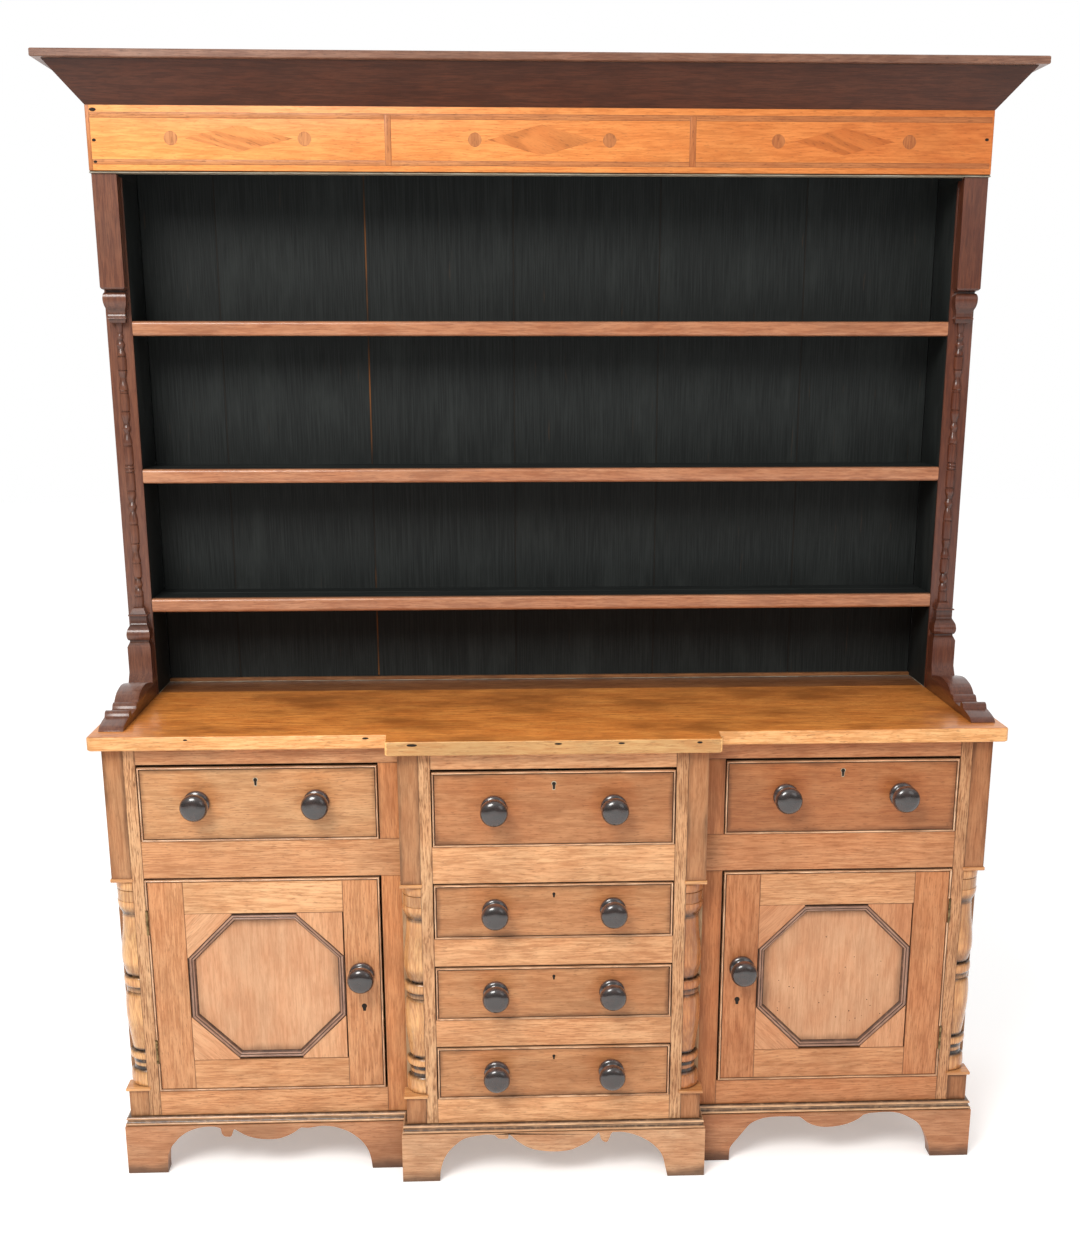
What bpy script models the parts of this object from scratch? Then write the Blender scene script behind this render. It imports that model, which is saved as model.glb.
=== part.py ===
"""Kitchen dresser: a breakfront base of drawers and cupboards under an open plate rack.

The front faces -Y and X runs to the viewer's right. The origin is on the floor, under the
middle of the dresser. Run it with: blender --background --python part.py
"""

import itertools
import math

import bmesh
import bpy

MM = 0.001
GAP = 0.3 * MM  # between two pieces that touch

# Base, outside
BASE_WIDTH = 1.680
BASE_DEPTH = 0.551  # from the centre face to the back
CENTRE_WIDTH = 0.578
BREAK = 0.058  # how far the centre stands forward of the sides
WORKTOP_HEIGHT = 0.902
WORKTOP_THICK = 0.0265
FRONT_OVERHANG = 0.024
END_OVERHANG = 0.021
WORKTOP_ARRIS = 0.003

# Boards of the carcass
PANEL = 0.018
BACK_BOARD = 0.012
FLOOR_BOARD = 0.018
DUST_BOARD = 0.010

# Face frames
STILE = 0.0225
INNER_STILE = 0.040  # the side frames' stiles, next to the breakfront
RAIL_DEPTH = 0.022
TOP_RAIL = 0.033
TOP_DRAWER_OPENING = 0.150
MIDDLE_RAIL = 0.0735  # between the side drawers and the doors
UPPER_RAIL = 0.0725  # below the top centre drawer
LOWER_RAIL = 0.0562
LOWER_DRAWERS = 3
BOTTOM_RAIL = 0.0525

# Corner blocks and quarter columns
BLOCK = 0.038
ABACUS_THICK = 0.007
ABACUS_PROUD = 0.0025
CAP_THICK = 0.006
CAP_PROUD = 0.005
LOWER_BLOCK = 0.056
COLUMN_SIDES = 8  # faces round each quarter

# Plinth
PLINTH_HEIGHT = 0.121
PLINTH_BOARD = 0.022  # from the carcass face inwards
PLINTH_PROUD = 0.011
SIDE_FOOT = 0.070
SIDE_ARCH_DROP = 0.028  # from the plinth's top to a side arch
CENTRE_FEET = (0.0625, 0.0625)  # width of the foot left and right of each cut-out
LEFT_FEET = (0.068, 0.075)
RIGHT_FEET = (0.070, 0.068)

# Drawers
DRAWER_FRONT = 0.020
DRAWER_SIDE_GAP = 0.002
DRAWER_TOP_GAP = 0.0035
DRAWER_WALL = 0.012
DRAWER_BOTTOM = 0.008
DRAWER_WALL_DROP = 0.012  # how far the box stops below the top of its front
DRAWER_BACK_GAP = 0.040
BEAD_WIDTH = 0.004
BEAD_PROUD = 0.0025

# Doors
DOOR_THICK = 0.020
DOOR_HINGE_GAP = 0.001
DOOR_LATCH_GAP = 0.004
DOOR_TOP_GAP = 0.004
DOOR_BOTTOM_GAP = 0.001
DOOR_STILE = 0.071
DOOR_TOP_RAIL = 0.069
DOOR_BOTTOM_RAIL = 0.065
REBATE_WIDTH = 0.008
REBATE_DEPTH = 0.012  # wood left in front of the rebate
PANEL_BACK_SETBACK = 0.001
HINGE_LENGTH = 0.050
HINGE_INSET = 0.060  # from the end of the door to the hinge
HINGE_RADIUS = 0.0024
HINGE_LET_IN = 0.001
HINGE_LEAF = 0.016
HINGE_SIDES = 12
OCTAGON_MARGIN = 0.00175
OCTAGON_MOULDING = 0.014
FIELD_RECESS = 0.008

# Knobs
KNOB_SPREAD = 0.224  # between the two knobs of a drawer
KNOB_RISE = 0.002  # above the middle of the drawer
SIDE_KNOB_SHIFT = 0.0035  # outwards from the middle of a side drawer
DOOR_KNOB_INSET = 0.0395  # from the latch edge
DOOR_KNOB_RISE = 0.0225  # above the middle of the door
DOWEL_RADIUS = 0.006
DOWEL_LENGTH = 0.014
DOWEL_END_GAP = 0.001
KNOB_SIDES = 12

# Rack
OVERALL_HEIGHT = 2.104
RACK_PAST_BASE = 0.0085  # at each end
RACK_DEPTH = 0.145  # from the front of the shelves to the back
STANDARD = 0.0485
PILASTER_WIDTH = 0.046
PILASTER_PROUD = 0.038
TURNING_SIDES = 6
SHELF_THICK = 0.028
SHELF_NOSE = 0.006
PLATE_GROOVE = 0.005
PLATE_GROOVE_PLACE = 0.053  # in front of the back boards
SHELF_RISES = (0.170, 0.428, 0.710)  # undersides, above the worktop
BACK_BOARD_WIDTH = 0.296
FIRST_BACK_BOARD = 0.150
V_GROOVE = 0.004
BATTEN_HEIGHT = 0.008
BATTEN_DEPTH = 0.010
FRIEZE_HEIGHT = 0.118
FRIEZE_THICK = 0.020
FRIEZE_PROUD = 0.041
FRIEZE_END = 0.0015  # past the side of the rack
FRIEZE_BEAD = 0.008
FRIEZE_BEAD_PROUD = 0.002
CORNICE_SLAB = 0.014
CORNICE_RISE = 0.069
CORNICE_REACH = 0.058
CORNICE_BOARD = 0.020
SLAB_LIP = 0.016

# Turned and moulded outlines, in millimetres

# From the base of the knob outwards: radius, distance from the face.
KNOB_PROFILE = ((23.5, 0), (25, 4.5), (23.5, 9.5), (17, 13), (13, 17), (13.5, 21), (20, 25),
                (25, 31), (26, 37), (23.5, 43.5), (17, 48), (8, 49.7), (4, 50))

# From the top of the column down: distance, radius.
COLUMN_PROFILE = ((0, 35), (2, 37.3), (9.5, 38), (17, 37.3), (19, 35.5), (20, 37), (40, 37),
                  (42, 37.9), (50, 37.6), (58, 35.5), (70, 31), (76, 31), (100, 32.4),
                  (130, 36), (152, 37.9), (168, 37.8), (185, 34.5), (197, 31), (199, 35.5),
                  (203, 37.5), (214, 37.5), (218, 35.5), (219, 34.3), (228, 34.3), (230, 33),
                  (238, 36.2), (258, 37.8), (280, 37.9), (300, 36.5), (330, 33), (354, 30),
                  (355, 34.5), (358, 36.5), (368, 36.5), (371, 34.5), (373, 31.8), (383, 30.4),
                  (393, 30.8), (395, 34), (400, 36.4), (412, 37.5), (424, 37.5), (428, 36))

# Half of the split turning, from its middle to one end: distance, radius.
TURNING_PROFILE = ((0, 7.4), (2.5, 9), (5, 7.6), (6, 9), (39, 9), (43, 6.6), (47, 7.6), (52, 9.2),
                   (61, 8.6), (74, 6.5), (79, 7.6), (85, 8.9), (92, 7.8), (99, 5.8), (107, 8.4),
                   (114, 9), (149, 9), (151.5, 6.8), (154, 9), (172, 6.3), (190, 9), (192.5, 6.8),
                   (195, 9), (217, 9), (219, 7.2), (224, 9), (229, 7.2), (236, 6), (241, 8.8),
                   (246, 8.8), (253, 5.6), (256, 6.2), (260, 5.7))

# Foot of the pilaster: height above the worktop, how far each side and the front are set in.
PILASTER_BASE = ((30, 0, 0), (31, -1, -9), (36, -1, -9), (53.5, 0, 0), (106.5, 0, 0),
                 (115.5, 4, 8), (119, 4, 8), (123, 0.8, 1.6), (132, 0, 0), (140, 1.2, 2.4),
                 (147, 4.5, 9), (151.5, 6.8, 13.5), (166, 6.9, 13.8), (168, 4, 8),
                 (170.5, 4, 8), (171, 7.3, 13), (182, 12.1, 20))

# Head of the pilaster: distance below the frieze, how far each side and the front are set in.
PILASTER_HEAD = ((266, 8, 22), (259.5, 6.5, 20), (259, 4.9, 15.3), (257.5, 4.9, 15.3),
                 (252, 6.9, 19.5), (248, 6.9, 19.4), (243, 5.8, 17.3), (236, 2.8, 12.3),
                 (228, 1.2, 9.4), (220, 0.9, 9), (214.5, 1.8, 10.4), (211, 3.8, 13.4),
                 (210.5, 6, 17), (208, 6, 17), (205, 2, 3), (202, 0, 0), (0, 0, 0))

# Foot that the standard sends forward: distance in front of the shelves, height.
SCROLL_FOOT = ((38, 35), (47, 35.4), (64, 38.6), (82, 41.6), (96, 43.8), (108, 45), (122, 45),
               (135, 43.8), (154, 40.7), (163, 38), (169, 35.9), (179, 30.3), (185, 25.5),
               (193, 26.5), (199, 25), (203.5, 21.5), (206, 16.5), (230, 15), (249, 15),
               (250.5, 21), (254, 24.8), (261, 25.2), (267, 22.5), (270, 17.5), (271.5, 15.5),
               (285, 13.8), (298, 12), (315.5, 8.6), (322, 5.5), (326.5, 1.5), (326.5, 0))

# Moulded band round the plinth: height below its top, how far it stands proud.
BAND_PROFILE = ((18.5, 6.5), (17.6, 6.5), (17, 8), (14.8, 9.9), (12.4, 8), (11.8, 6.6), (9, 5.1),
                (6.2, 5.6), (4.6, 7.8), (2.8, 7.8), (0.4, 4.8), (0, 4.4))

# Cut-outs under the plinth, as runs that join at corners: distance from the left foot, height.
CENTRE_APRON = (
    ((0, 0), (1, 18), (4, 33), (8, 46), (14, 58), (22, 69), (33, 80), (46, 90), (60, 95),
     (78, 98), (95, 100), (110, 98)),
    ((112, 95), (117, 91), (125, 90), (135.5, 90)),
    ((137, 101), (143, 95), (150, 88), (160, 79.5), (173, 71), (186, 65.5), (200, 62.5),
     (220, 60), (239, 60), (260, 63), (278, 71), (293, 79), (303, 87), (312, 97)),
    ((315, 100), (317, 94), (320, 84), (326, 79), (332, 79), (336, 87), (339, 96)),
    ((342, 99.5), (357, 100), (375, 97), (394, 90), (410, 81), (425, 69), (437, 55),
     (444, 40), (448, 22), (453, 0)),
)
LEFT_APRON = (
    ((0, 0), (0.5, 27), (3, 41), (10, 57), (18, 67), (27, 77), (40, 87), (55, 94), (70, 98),
     (85, 99.5), (100, 98.5), (109, 95)),
    ((110.5, 84), (115, 78), (121, 76.5), (128.5, 77), (132, 84), (134, 91)),
    ((136.5, 93), (145, 87), (156, 80), (170, 74), (188, 70), (209, 69), (227, 71), (245, 78),
     (257, 85), (264, 90.5)),
    ((269, 93.5), (282, 92.5), (294, 94), (309, 96), (330, 94.5), (348, 89), (365, 81),
     (380, 69), (391, 57), (400, 41), (405, 24), (408, 0)),
)
RIGHT_APRON = (
    ((0, 0), (0.5, 19), (3, 31), (14, 46), (29, 66), (41, 80.5), (56, 89), (71, 93.5),
     (90, 95.5), (114, 95.5), (140, 94.5)),
    ((142, 93.5), (148, 89), (158, 81), (173, 74), (192, 70), (214, 71), (235, 75), (253, 82),
     (265, 89.5), (271, 95.5)),
    ((283, 99), (311, 101), (330, 100.5), (348, 96.5), (367, 87), (383, 76), (394, 61),
     (404, 41), (410, 23), (413, 0)),
)
CURVE_STEP = 3  # points between two of an outline's own
APRON_DRAWN_FOR = 121  # the plinth's height in these outlines

# Colours (red, green, blue) and roughness
OAK = ((0.58, 0.27, 0.11), 0.45)
COLUMN_OAK = ((0.62, 0.33, 0.10), 0.40)
WORKTOP_OAK = ((0.50, 0.19, 0.05), 0.30)
RAW_OAK = ((0.42, 0.25, 0.13), 0.70)
FRIEZE_OAK = ((0.72, 0.36, 0.14), 0.45)
RACK_OAK = ((0.19, 0.07, 0.04), 0.40)
SHELF_OAK = ((0.34, 0.12, 0.06), 0.40)
CORNICE_OAK = ((0.06, 0.025, 0.018), 0.40)
BLACK_PAINT = ((0.012, 0.012, 0.012), 0.60)
KNOB_WOOD = ((0.02, 0.012, 0.010), 0.20)
BRASS = ((0.45, 0.30, 0.10), 0.35, 1)

# Places that follow from the sizes
KNOB_REACH = KNOB_PROFILE[-1][1] * MM
FRONT_Y = (KNOB_REACH - BASE_DEPTH) / 2
BACK_Y = FRONT_Y + BASE_DEPTH
SIDE_Y = FRONT_Y + BREAK
BACK_INNER_Y = BACK_Y - BACK_BOARD
BASE_X = BASE_WIDTH / 2
CENTRE_X = CENTRE_WIDTH / 2
WORKTOP_Z = WORKTOP_HEIGHT - WORKTOP_THICK
POST_DEPTH = BREAK - GAP
FLOOR_Z = PLINTH_HEIGHT + BOTTOM_RAIL
OPENING_TOP_Z = WORKTOP_Z - TOP_RAIL
TOP_DRAWER_Z = OPENING_TOP_Z - TOP_DRAWER_OPENING
DOOR_TOP_Z = TOP_DRAWER_Z - MIDDLE_RAIL
SIDE_OUTER_X = BASE_X - BLOCK - STILE
SIDE_INNER_X = CENTRE_X + INNER_STILE
CENTRE_OPENING_X = CENTRE_X - BLOCK - STILE
LOWER_TOP_Z = TOP_DRAWER_Z - UPPER_RAIL
LOWER_OPENING = (LOWER_TOP_Z - FLOOR_Z - (LOWER_DRAWERS - 1) * LOWER_RAIL) / LOWER_DRAWERS
COLUMN_TOP_Z = DOOR_TOP_Z - ABACUS_THICK
COLUMN_BOTTOM_Z = PLINTH_HEIGHT + LOWER_BLOCK + CAP_THICK
HINGE_X = SIDE_OUTER_X - DOOR_HINGE_GAP
HINGE_Y = SIDE_Y - BEAD_PROUD / 2
RACK_X = BASE_X + RACK_PAST_BASE
RACK_INNER_X = RACK_X - STANDARD
RACK_Y = BACK_Y - RACK_DEPTH
PILASTER_X = RACK_X - STANDARD / 2
SLAB_Z = OVERALL_HEIGHT - CORNICE_SLAB
FRIEZE_TOP_Z = SLAB_Z - CORNICE_RISE
FRIEZE_Z = FRIEZE_TOP_Z - FRIEZE_HEIGHT
FRIEZE_Y = RACK_Y - FRIEZE_PROUD
FRIEZE_X = RACK_X + FRIEZE_END
OVERLAP = 0.004  # how far a guide runs into the piece that it is joined to


def loft(rings):
    """Skin a closed body over rings of points, each with as many points as the next."""
    body = bmesh.new()
    loops = [[body.verts.new(point) for point in ring] for ring in rings]
    for lower, upper in zip(loops, loops[1:]):
        for i in range(len(lower)):
            j = (i + 1) % len(lower)
            body.faces.new((lower[i], lower[j], upper[j], upper[i]))
    body.faces.new(loops[0])
    body.faces.new(loops[-1])
    bmesh.ops.recalc_face_normals(body, faces=body.faces)
    return body


def box_union(boxes):
    """Join boxes, each (x0, x1, y0, y1, z0, z1), into one closed body."""
    boxes = [[round(value, 7) for value in box] for box in boxes]
    edges = [sorted({box[2 * axis + end] for box in boxes for end in (0, 1)})
             for axis in range(3)]
    filled = set()
    for box in boxes:
        spans = [range(edges[axis].index(box[2 * axis]), edges[axis].index(box[2 * axis + 1]))
                 for axis in range(3)]
        filled.update(itertools.product(*spans))
    body = bmesh.new()
    verts = {}
    for cell in sorted(filled):
        for axis, side in itertools.product(range(3), (0, 1)):
            beyond = list(cell)
            beyond[axis] += 2 * side - 1
            if tuple(beyond) in filled:
                continue
            corners = []
            for first, second in ((0, 0), (1, 0), (1, 1), (0, 1)):
                corner = list(cell)
                corner[axis] += side
                corner[(axis + 1) % 3] += first
                corner[(axis + 2) % 3] += second
                corner = tuple(corner)
                if corner not in verts:
                    verts[corner] = body.verts.new([edges[a][corner[a]] for a in range(3)])
                corners.append(verts[corner])
            body.faces.new(corners)
    bmesh.ops.recalc_face_normals(body, faces=body.faces)
    bmesh.ops.dissolve_limit(body, angle_limit=math.radians(1), verts=body.verts,
                             edges=body.edges)
    return body


def prism_x(outline, start, end):
    """Run an outline of (y, z) points along X."""
    return loft([[(x, y, z) for y, z in outline] for x in (start, end)])


def prism_y(outline, start, end):
    """Run an outline of (x, z) points along Y."""
    return loft([[(x, y, z) for x, z in outline] for y in (start, end)])


def turned(profile, sides, start=0.0, sweep=2 * math.pi):
    """Turn (radius, height) points about Z. A part turn is closed by two flat faces."""
    whole = sweep > 1.99 * math.pi
    angles = [start + sweep * i / sides for i in range(sides if whole else sides + 1)]
    rings = []
    for radius, height in profile:
        ring = [(radius * math.cos(angle), radius * math.sin(angle), height) for angle in angles]
        rings.append(ring if whole else [(0, 0, height)] + ring)
    body = loft(rings)
    if not whole:
        bmesh.ops.dissolve_limit(body, angle_limit=math.radians(0.1), verts=body.verts,
                                 edges=body.edges)
    return body


def smooth_run(points, steps):
    """Points on a smooth curve through the given ones, which it keeps."""
    curve = []
    padded = [points[0]] + list(points) + [points[-1]]
    for before, start, end, after in zip(padded, padded[1:], padded[2:], padded[3:]):
        for step in range(steps):
            t = step / steps
            curve.append(tuple(
                0.5 * (2 * b + (c - a) * t + (2 * a - 5 * b + 4 * c - d) * t ** 2
                       + (3 * b - a - 3 * c + d) * t ** 3)
                for a, b, c, d in zip(before, start, end, after)))
    return curve + [points[-1]]


def paint(part, finish):
    """Give a part its own plain material."""
    colour, roughness, *metallic = finish
    material = bpy.data.materials.new(part.name)
    material.use_nodes = True
    shader = material.node_tree.nodes["Principled BSDF"]
    shader.inputs["Base Color"].default_value = (*colour, 1)
    shader.inputs["Roughness"].default_value = roughness
    shader.inputs["Metallic"].default_value = metallic[0] if metallic else 0
    part.data.materials.append(material)


def add_part(name, body, finish, parent=None, location=(0, 0, 0), smooth_angle=None):
    """Make the object of one piece. Its place is given in its parent's frame."""
    mesh = bpy.data.meshes.new(name)
    body.to_mesh(mesh)
    body.free()
    if smooth_angle:
        mesh.shade_smooth()
        mesh.set_sharp_from_angle(angle=math.radians(smooth_angle))
    part = bpy.data.objects.new(name, mesh)
    bpy.context.collection.objects.link(part)
    part.parent = parent
    part.location = location
    paint(part, finish)
    return part


def add_guide(part, name, body, operation, location=(0, 0, 0)):
    """Cut a guide shape from a part, or join it on. Its place is in the part's frame."""
    mesh = bpy.data.meshes.new(name)
    body.to_mesh(mesh)
    body.free()
    guide = bpy.data.objects.new(name, mesh)
    bpy.context.collection.objects.link(guide)
    guide.parent = part
    guide.location = location
    guide.hide_render = True
    guide.display_type = "WIRE"
    modifier = part.modifiers.new(name, "BOOLEAN")
    modifier.operation = operation
    modifier.solver = "EXACT"
    modifier.object = guide


def add_axis(name, location):
    """An empty on a joint's axis, which the moving pieces hang from."""
    axis = bpy.data.objects.new(name, None)
    axis.empty_display_size = 0.05
    axis.location = location
    bpy.context.collection.objects.link(axis)
    return axis


def mirrored(box, side):
    """A box that is given on the right, put on its side: 1 is right and -1 is left."""
    x0, x1, *rest = box
    return (x0, x1, *rest) if side > 0 else (-x1, -x0, *rest)


def build_worktop():
    front = FRONT_Y - FRONT_OVERHANG
    side_front = SIDE_Y - FRONT_OVERHANG
    end = BASE_X + END_OVERHANG
    step = CENTRE_X + END_OVERHANG
    outline = ((-end, side_front), (-step, side_front), (-step, front), (step, front),
               (step, side_front), (end, side_front), (end, BACK_Y), (-end, BACK_Y))
    body = loft([[(x, y, z) for x, y in outline] for z in (WORKTOP_Z, WORKTOP_HEIGHT)])
    worktop = add_part("worktop", body, WORKTOP_OAK, smooth_angle=40)
    bevel = worktop.modifiers.new("arris", "BEVEL")
    bevel.width = WORKTOP_ARRIS
    bevel.segments = 2


def build_carcass():
    low = PLINTH_HEIGHT + GAP
    high = WORKTOP_Z - GAP
    end_inner = BASE_X - PANEL
    partition_inner = CENTRE_X - PANEL
    board_back = BACK_INNER_Y - GAP
    front = FRONT_Y + BLOCK + GAP
    slot = SIDE_Y + POST_DEPTH
    across = (partition_inner, CENTRE_X)
    # The partition is slotted from behind for the upper dust board, which runs through it.
    partition = [(*across, front, slot, FLOOR_Z + GAP, high),
                 (*across, front, SIDE_Y - GAP, low, high),
                 (*across, slot, board_back, FLOOR_Z + GAP, TOP_DRAWER_Z - DUST_BOARD - GAP),
                 (*across, slot, board_back, TOP_DRAWER_Z + GAP, high)]
    for name, side in (("left", -1), ("right", 1)):
        end = (end_inner, BASE_X, SIDE_Y + BLOCK + GAP, BACK_Y, low, high)
        add_part(f"{name}_end", box_union([mirrored(end, side)]), OAK)
        add_part(f"{name}_partition", box_union([mirrored(box, side) for box in partition]), OAK)
    back = (GAP - end_inner, end_inner - GAP, BACK_INNER_Y, BACK_Y, low, high)
    add_part("base_back", box_union([back]), RAW_OAK)
    build_floor(end_inner - GAP, board_back)
    build_dust_boards(end_inner - GAP, partition_inner - GAP, board_back)


def side_tongues(level):
    """The parts of a board that reach the side rails between the posts."""
    tongue = (SIDE_INNER_X + GAP, SIDE_OUTER_X - GAP, SIDE_Y + RAIL_DEPTH + GAP,
              SIDE_Y + POST_DEPTH + GAP, *level)
    return [mirrored(tongue, 1), mirrored(tongue, -1)]


def build_floor(half_width, back):
    """The board under the cupboards and the lowest drawer."""
    level = (FLOOR_Z - FLOOR_BOARD, FLOOR_Z)
    behind_side_posts = SIDE_Y + POST_DEPTH + GAP
    centre = CENTRE_OPENING_X - GAP
    boxes = [(-half_width, half_width, behind_side_posts, back, *level),
             (-CENTRE_X, CENTRE_X, SIDE_Y, behind_side_posts, *level),
             (-centre, centre, FRONT_Y + RAIL_DEPTH + GAP, SIDE_Y, *level)]
    add_part("floor_board", box_union(boxes + side_tongues(level)), RAW_OAK)


def build_dust_boards(half_width, partition_inner, back):
    """The boards that the drawers above the floor run on, level with their rails."""
    start = FRONT_Y + POST_DEPTH + GAP
    centre = CENTRE_OPENING_X - GAP
    for number, bottom in enumerate(centre_openings()[:-1]):
        level = (bottom - DUST_BOARD, bottom)
        boxes = [(-partition_inner, partition_inner, start, back, *level),
                 (-centre, centre, FRONT_Y + RAIL_DEPTH + GAP, start, *level)]
        if number == 0:
            boxes.append((-half_width, half_width, SIDE_Y + POST_DEPTH + GAP, back, *level))
            boxes += side_tongues(level)
        name = f"centre_dust_board_{number}" if number else "upper_dust_board"
        add_part(name, box_union(boxes), RAW_OAK)


def centre_openings():
    """The height of the bottom of each centre drawer's opening, from the top down."""
    pitch = LOWER_OPENING + LOWER_RAIL
    lower = [LOWER_TOP_Z - LOWER_OPENING - i * pitch for i in range(LOWER_DRAWERS)]
    return [TOP_DRAWER_Z] + lower


def corner_post(inner_x, corner_x, face_y, low, high):
    """A post with a block above and below the notch that its column stands in."""
    notch_x = corner_x - BLOCK
    notch_back = face_y + BLOCK
    post_back = face_y + POST_DEPTH
    cap_z = COLUMN_BOTTOM_Z - CAP_THICK
    return [(inner_x, notch_x, face_y, post_back, low, high),
            (notch_x, corner_x - PANEL - GAP, notch_back, post_back, low, high),
            (notch_x, corner_x, face_y, notch_back, DOOR_TOP_Z, high),
            (notch_x - ABACUS_PROUD, corner_x + ABACUS_PROUD, face_y - ABACUS_PROUD, notch_back,
             COLUMN_TOP_Z, DOOR_TOP_Z),
            (notch_x - CAP_PROUD, corner_x + CAP_PROUD, face_y - CAP_PROUD, notch_back,
             cap_z, COLUMN_BOTTOM_Z),
            (notch_x, corner_x, face_y, notch_back, low, cap_z)]


def build_face_frames():
    low = PLINTH_HEIGHT + GAP
    high = WORKTOP_Z - GAP
    rails = ((OPENING_TOP_Z, high), (DOOR_TOP_Z, TOP_DRAWER_Z), (low, FLOOR_Z))
    boxes = corner_post(SIDE_OUTER_X, BASE_X, SIDE_Y, low, high)
    boxes.append((CENTRE_X + GAP, SIDE_INNER_X, SIDE_Y, SIDE_Y + POST_DEPTH, low, high))
    boxes += [(SIDE_INNER_X, SIDE_OUTER_X, SIDE_Y, SIDE_Y + RAIL_DEPTH, *rail) for rail in rails]
    for name, side in (("left", -1), ("right", 1)):
        body = box_union([mirrored(box, side) for box in boxes])
        add_part(f"{name}_face_frame", body, OAK)

    openings = centre_openings()
    lower_tops = [bottom + LOWER_OPENING for bottom in openings[1:]]
    rails = [(OPENING_TOP_Z, high), (low, openings[-1])] + list(zip(lower_tops, openings))
    post = corner_post(CENTRE_OPENING_X, CENTRE_X, FRONT_Y, low, high)
    boxes = [mirrored(box, side) for box in post for side in (1, -1)]
    boxes += [(-CENTRE_OPENING_X, CENTRE_OPENING_X, FRONT_Y, FRONT_Y + RAIL_DEPTH, *rail)
              for rail in rails]
    add_part("centre_face_frame", box_union(boxes), OAK)


def build_columns():
    """Quarter columns, turned about the inner corner of each notch."""
    length = COLUMN_TOP_Z - COLUMN_BOTTOM_Z - 2 * GAP
    stretch = length / COLUMN_PROFILE[-1][0]
    fit = (BLOCK - GAP) / BLOCK
    profile = [(radius * MM * fit, length - distance * stretch)
               for distance, radius in COLUMN_PROFILE]
    corners = (("outer_left_column", -1, BASE_X, SIDE_Y),
               ("inner_left_column", -1, CENTRE_X, FRONT_Y),
               ("inner_right_column", 1, CENTRE_X, FRONT_Y),
               ("outer_right_column", 1, BASE_X, SIDE_Y))
    for name, side, corner_x, face_y in corners:
        body = turned(profile, COLUMN_SIDES, -math.pi / 2, math.pi / 2)
        place = (side * (corner_x - BLOCK + GAP), face_y + BLOCK - GAP, COLUMN_BOTTOM_Z + GAP)
        column = add_part(name, body, COLUMN_OAK, location=place, smooth_angle=35)
        column.rotation_euler.z = 0 if side > 0 else -math.pi / 2


def plinth_levels():
    """Height and projection of each level of the plinth's face, from the floor up."""
    band = BAND_PROFILE[0][0] * MM
    levels = [(0, PLINTH_PROUD), (PLINTH_HEIGHT - band - GAP, PLINTH_PROUD)]
    return levels + [(PLINTH_HEIGHT - drop * MM, proud * MM) for drop, proud in BAND_PROFILE]


def apron_outline(runs, start, end):
    """The cut-out below an apron, stretched between its feet and closed below the floor."""
    curve = [point for run in runs for point in smooth_run(run, CURVE_STEP)]
    stretch = (end - start) / curve[-1][0]
    rise = PLINTH_HEIGHT / APRON_DRAWN_FOR
    below = -PLINTH_BOARD
    return [(start, below)] + [(start + x * stretch, z * rise) for x, z in curve] + [(end, below)]


def side_arch_outline():
    """The cut-out of a side return, between a front and a rear foot."""
    start = SIDE_Y + SIDE_FOOT
    end = BACK_Y - SIDE_FOOT
    rise = PLINTH_HEIGHT - SIDE_ARCH_DROP
    curve = rise / 2
    points = []
    for i in range(7):
        angle = math.pi / 2 * i / 6
        points.append((start + curve * (1 - math.cos(angle)), rise - curve * (1 - math.sin(angle))))
    mirror = [(start + end - y, z) for y, z in reversed(points)]
    below = -PLINTH_BOARD
    return [(start, below)] + points + mirror + [(end, below)]


def build_plinth():
    """One moulded base for the whole breakfront, cut out below its three aprons and its ends."""
    inner = BASE_X - PLINTH_BOARD
    centre_inner = CENTRE_X - PLINTH_BOARD
    board_back = SIDE_Y + PLINTH_BOARD
    rings = []
    for height, proud in plinth_levels():
        ring = [(CENTRE_X + proud, FRONT_Y - proud), (CENTRE_X + proud, SIDE_Y - proud),
                (BASE_X + proud, SIDE_Y - proud), (BASE_X + proud, BACK_Y), (inner, BACK_Y),
                (inner, board_back), (centre_inner, board_back),
                (centre_inner, FRONT_Y + PLINTH_BOARD)]
        ring += [(-x, y) for x, y in reversed(ring)]
        rings.append([(x, y, height) for x, y in ring])
    plinth = add_part("plinth", loft(rings), OAK)
    cut = PLINTH_BOARD + PLINTH_PROUD + OVERLAP
    sides = (("left", -1, LEFT_APRON, LEFT_FEET[0] - BASE_X, -CENTRE_X - LEFT_FEET[1]),
             ("right", 1, RIGHT_APRON, CENTRE_X + RIGHT_FEET[0], BASE_X - RIGHT_FEET[1]))
    for name, side, apron, start, end in sides:
        front = prism_y(apron_outline(apron, start, end), SIDE_Y - cut, SIDE_Y + cut)
        add_guide(plinth, f"{name}_apron_cut", front, "DIFFERENCE")
        arch = prism_x(side_arch_outline(), side * (BASE_X - cut), side * (BASE_X + cut))
        add_guide(plinth, f"{name}_side_cut", arch, "DIFFERENCE")
    outline = apron_outline(CENTRE_APRON, CENTRE_FEET[0] - CENTRE_X, CENTRE_X - CENTRE_FEET[1])
    front = prism_y(outline, FRONT_Y - cut, FRONT_Y + cut)
    add_guide(plinth, "centre_apron_cut", front, "DIFFERENCE")


def bead_boxes(x0, x1, face, z0, z1):
    """The cockbead round the edge of a drawer or door front, proud of its face."""
    depth = (face - BEAD_PROUD, face)
    return [(x0, x1, *depth, z0, z0 + BEAD_WIDTH), (x0, x1, *depth, z1 - BEAD_WIDTH, z1),
            (x0, x0 + BEAD_WIDTH, *depth, z0, z1), (x1 - BEAD_WIDTH, x1, *depth, z0, z1)]


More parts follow.
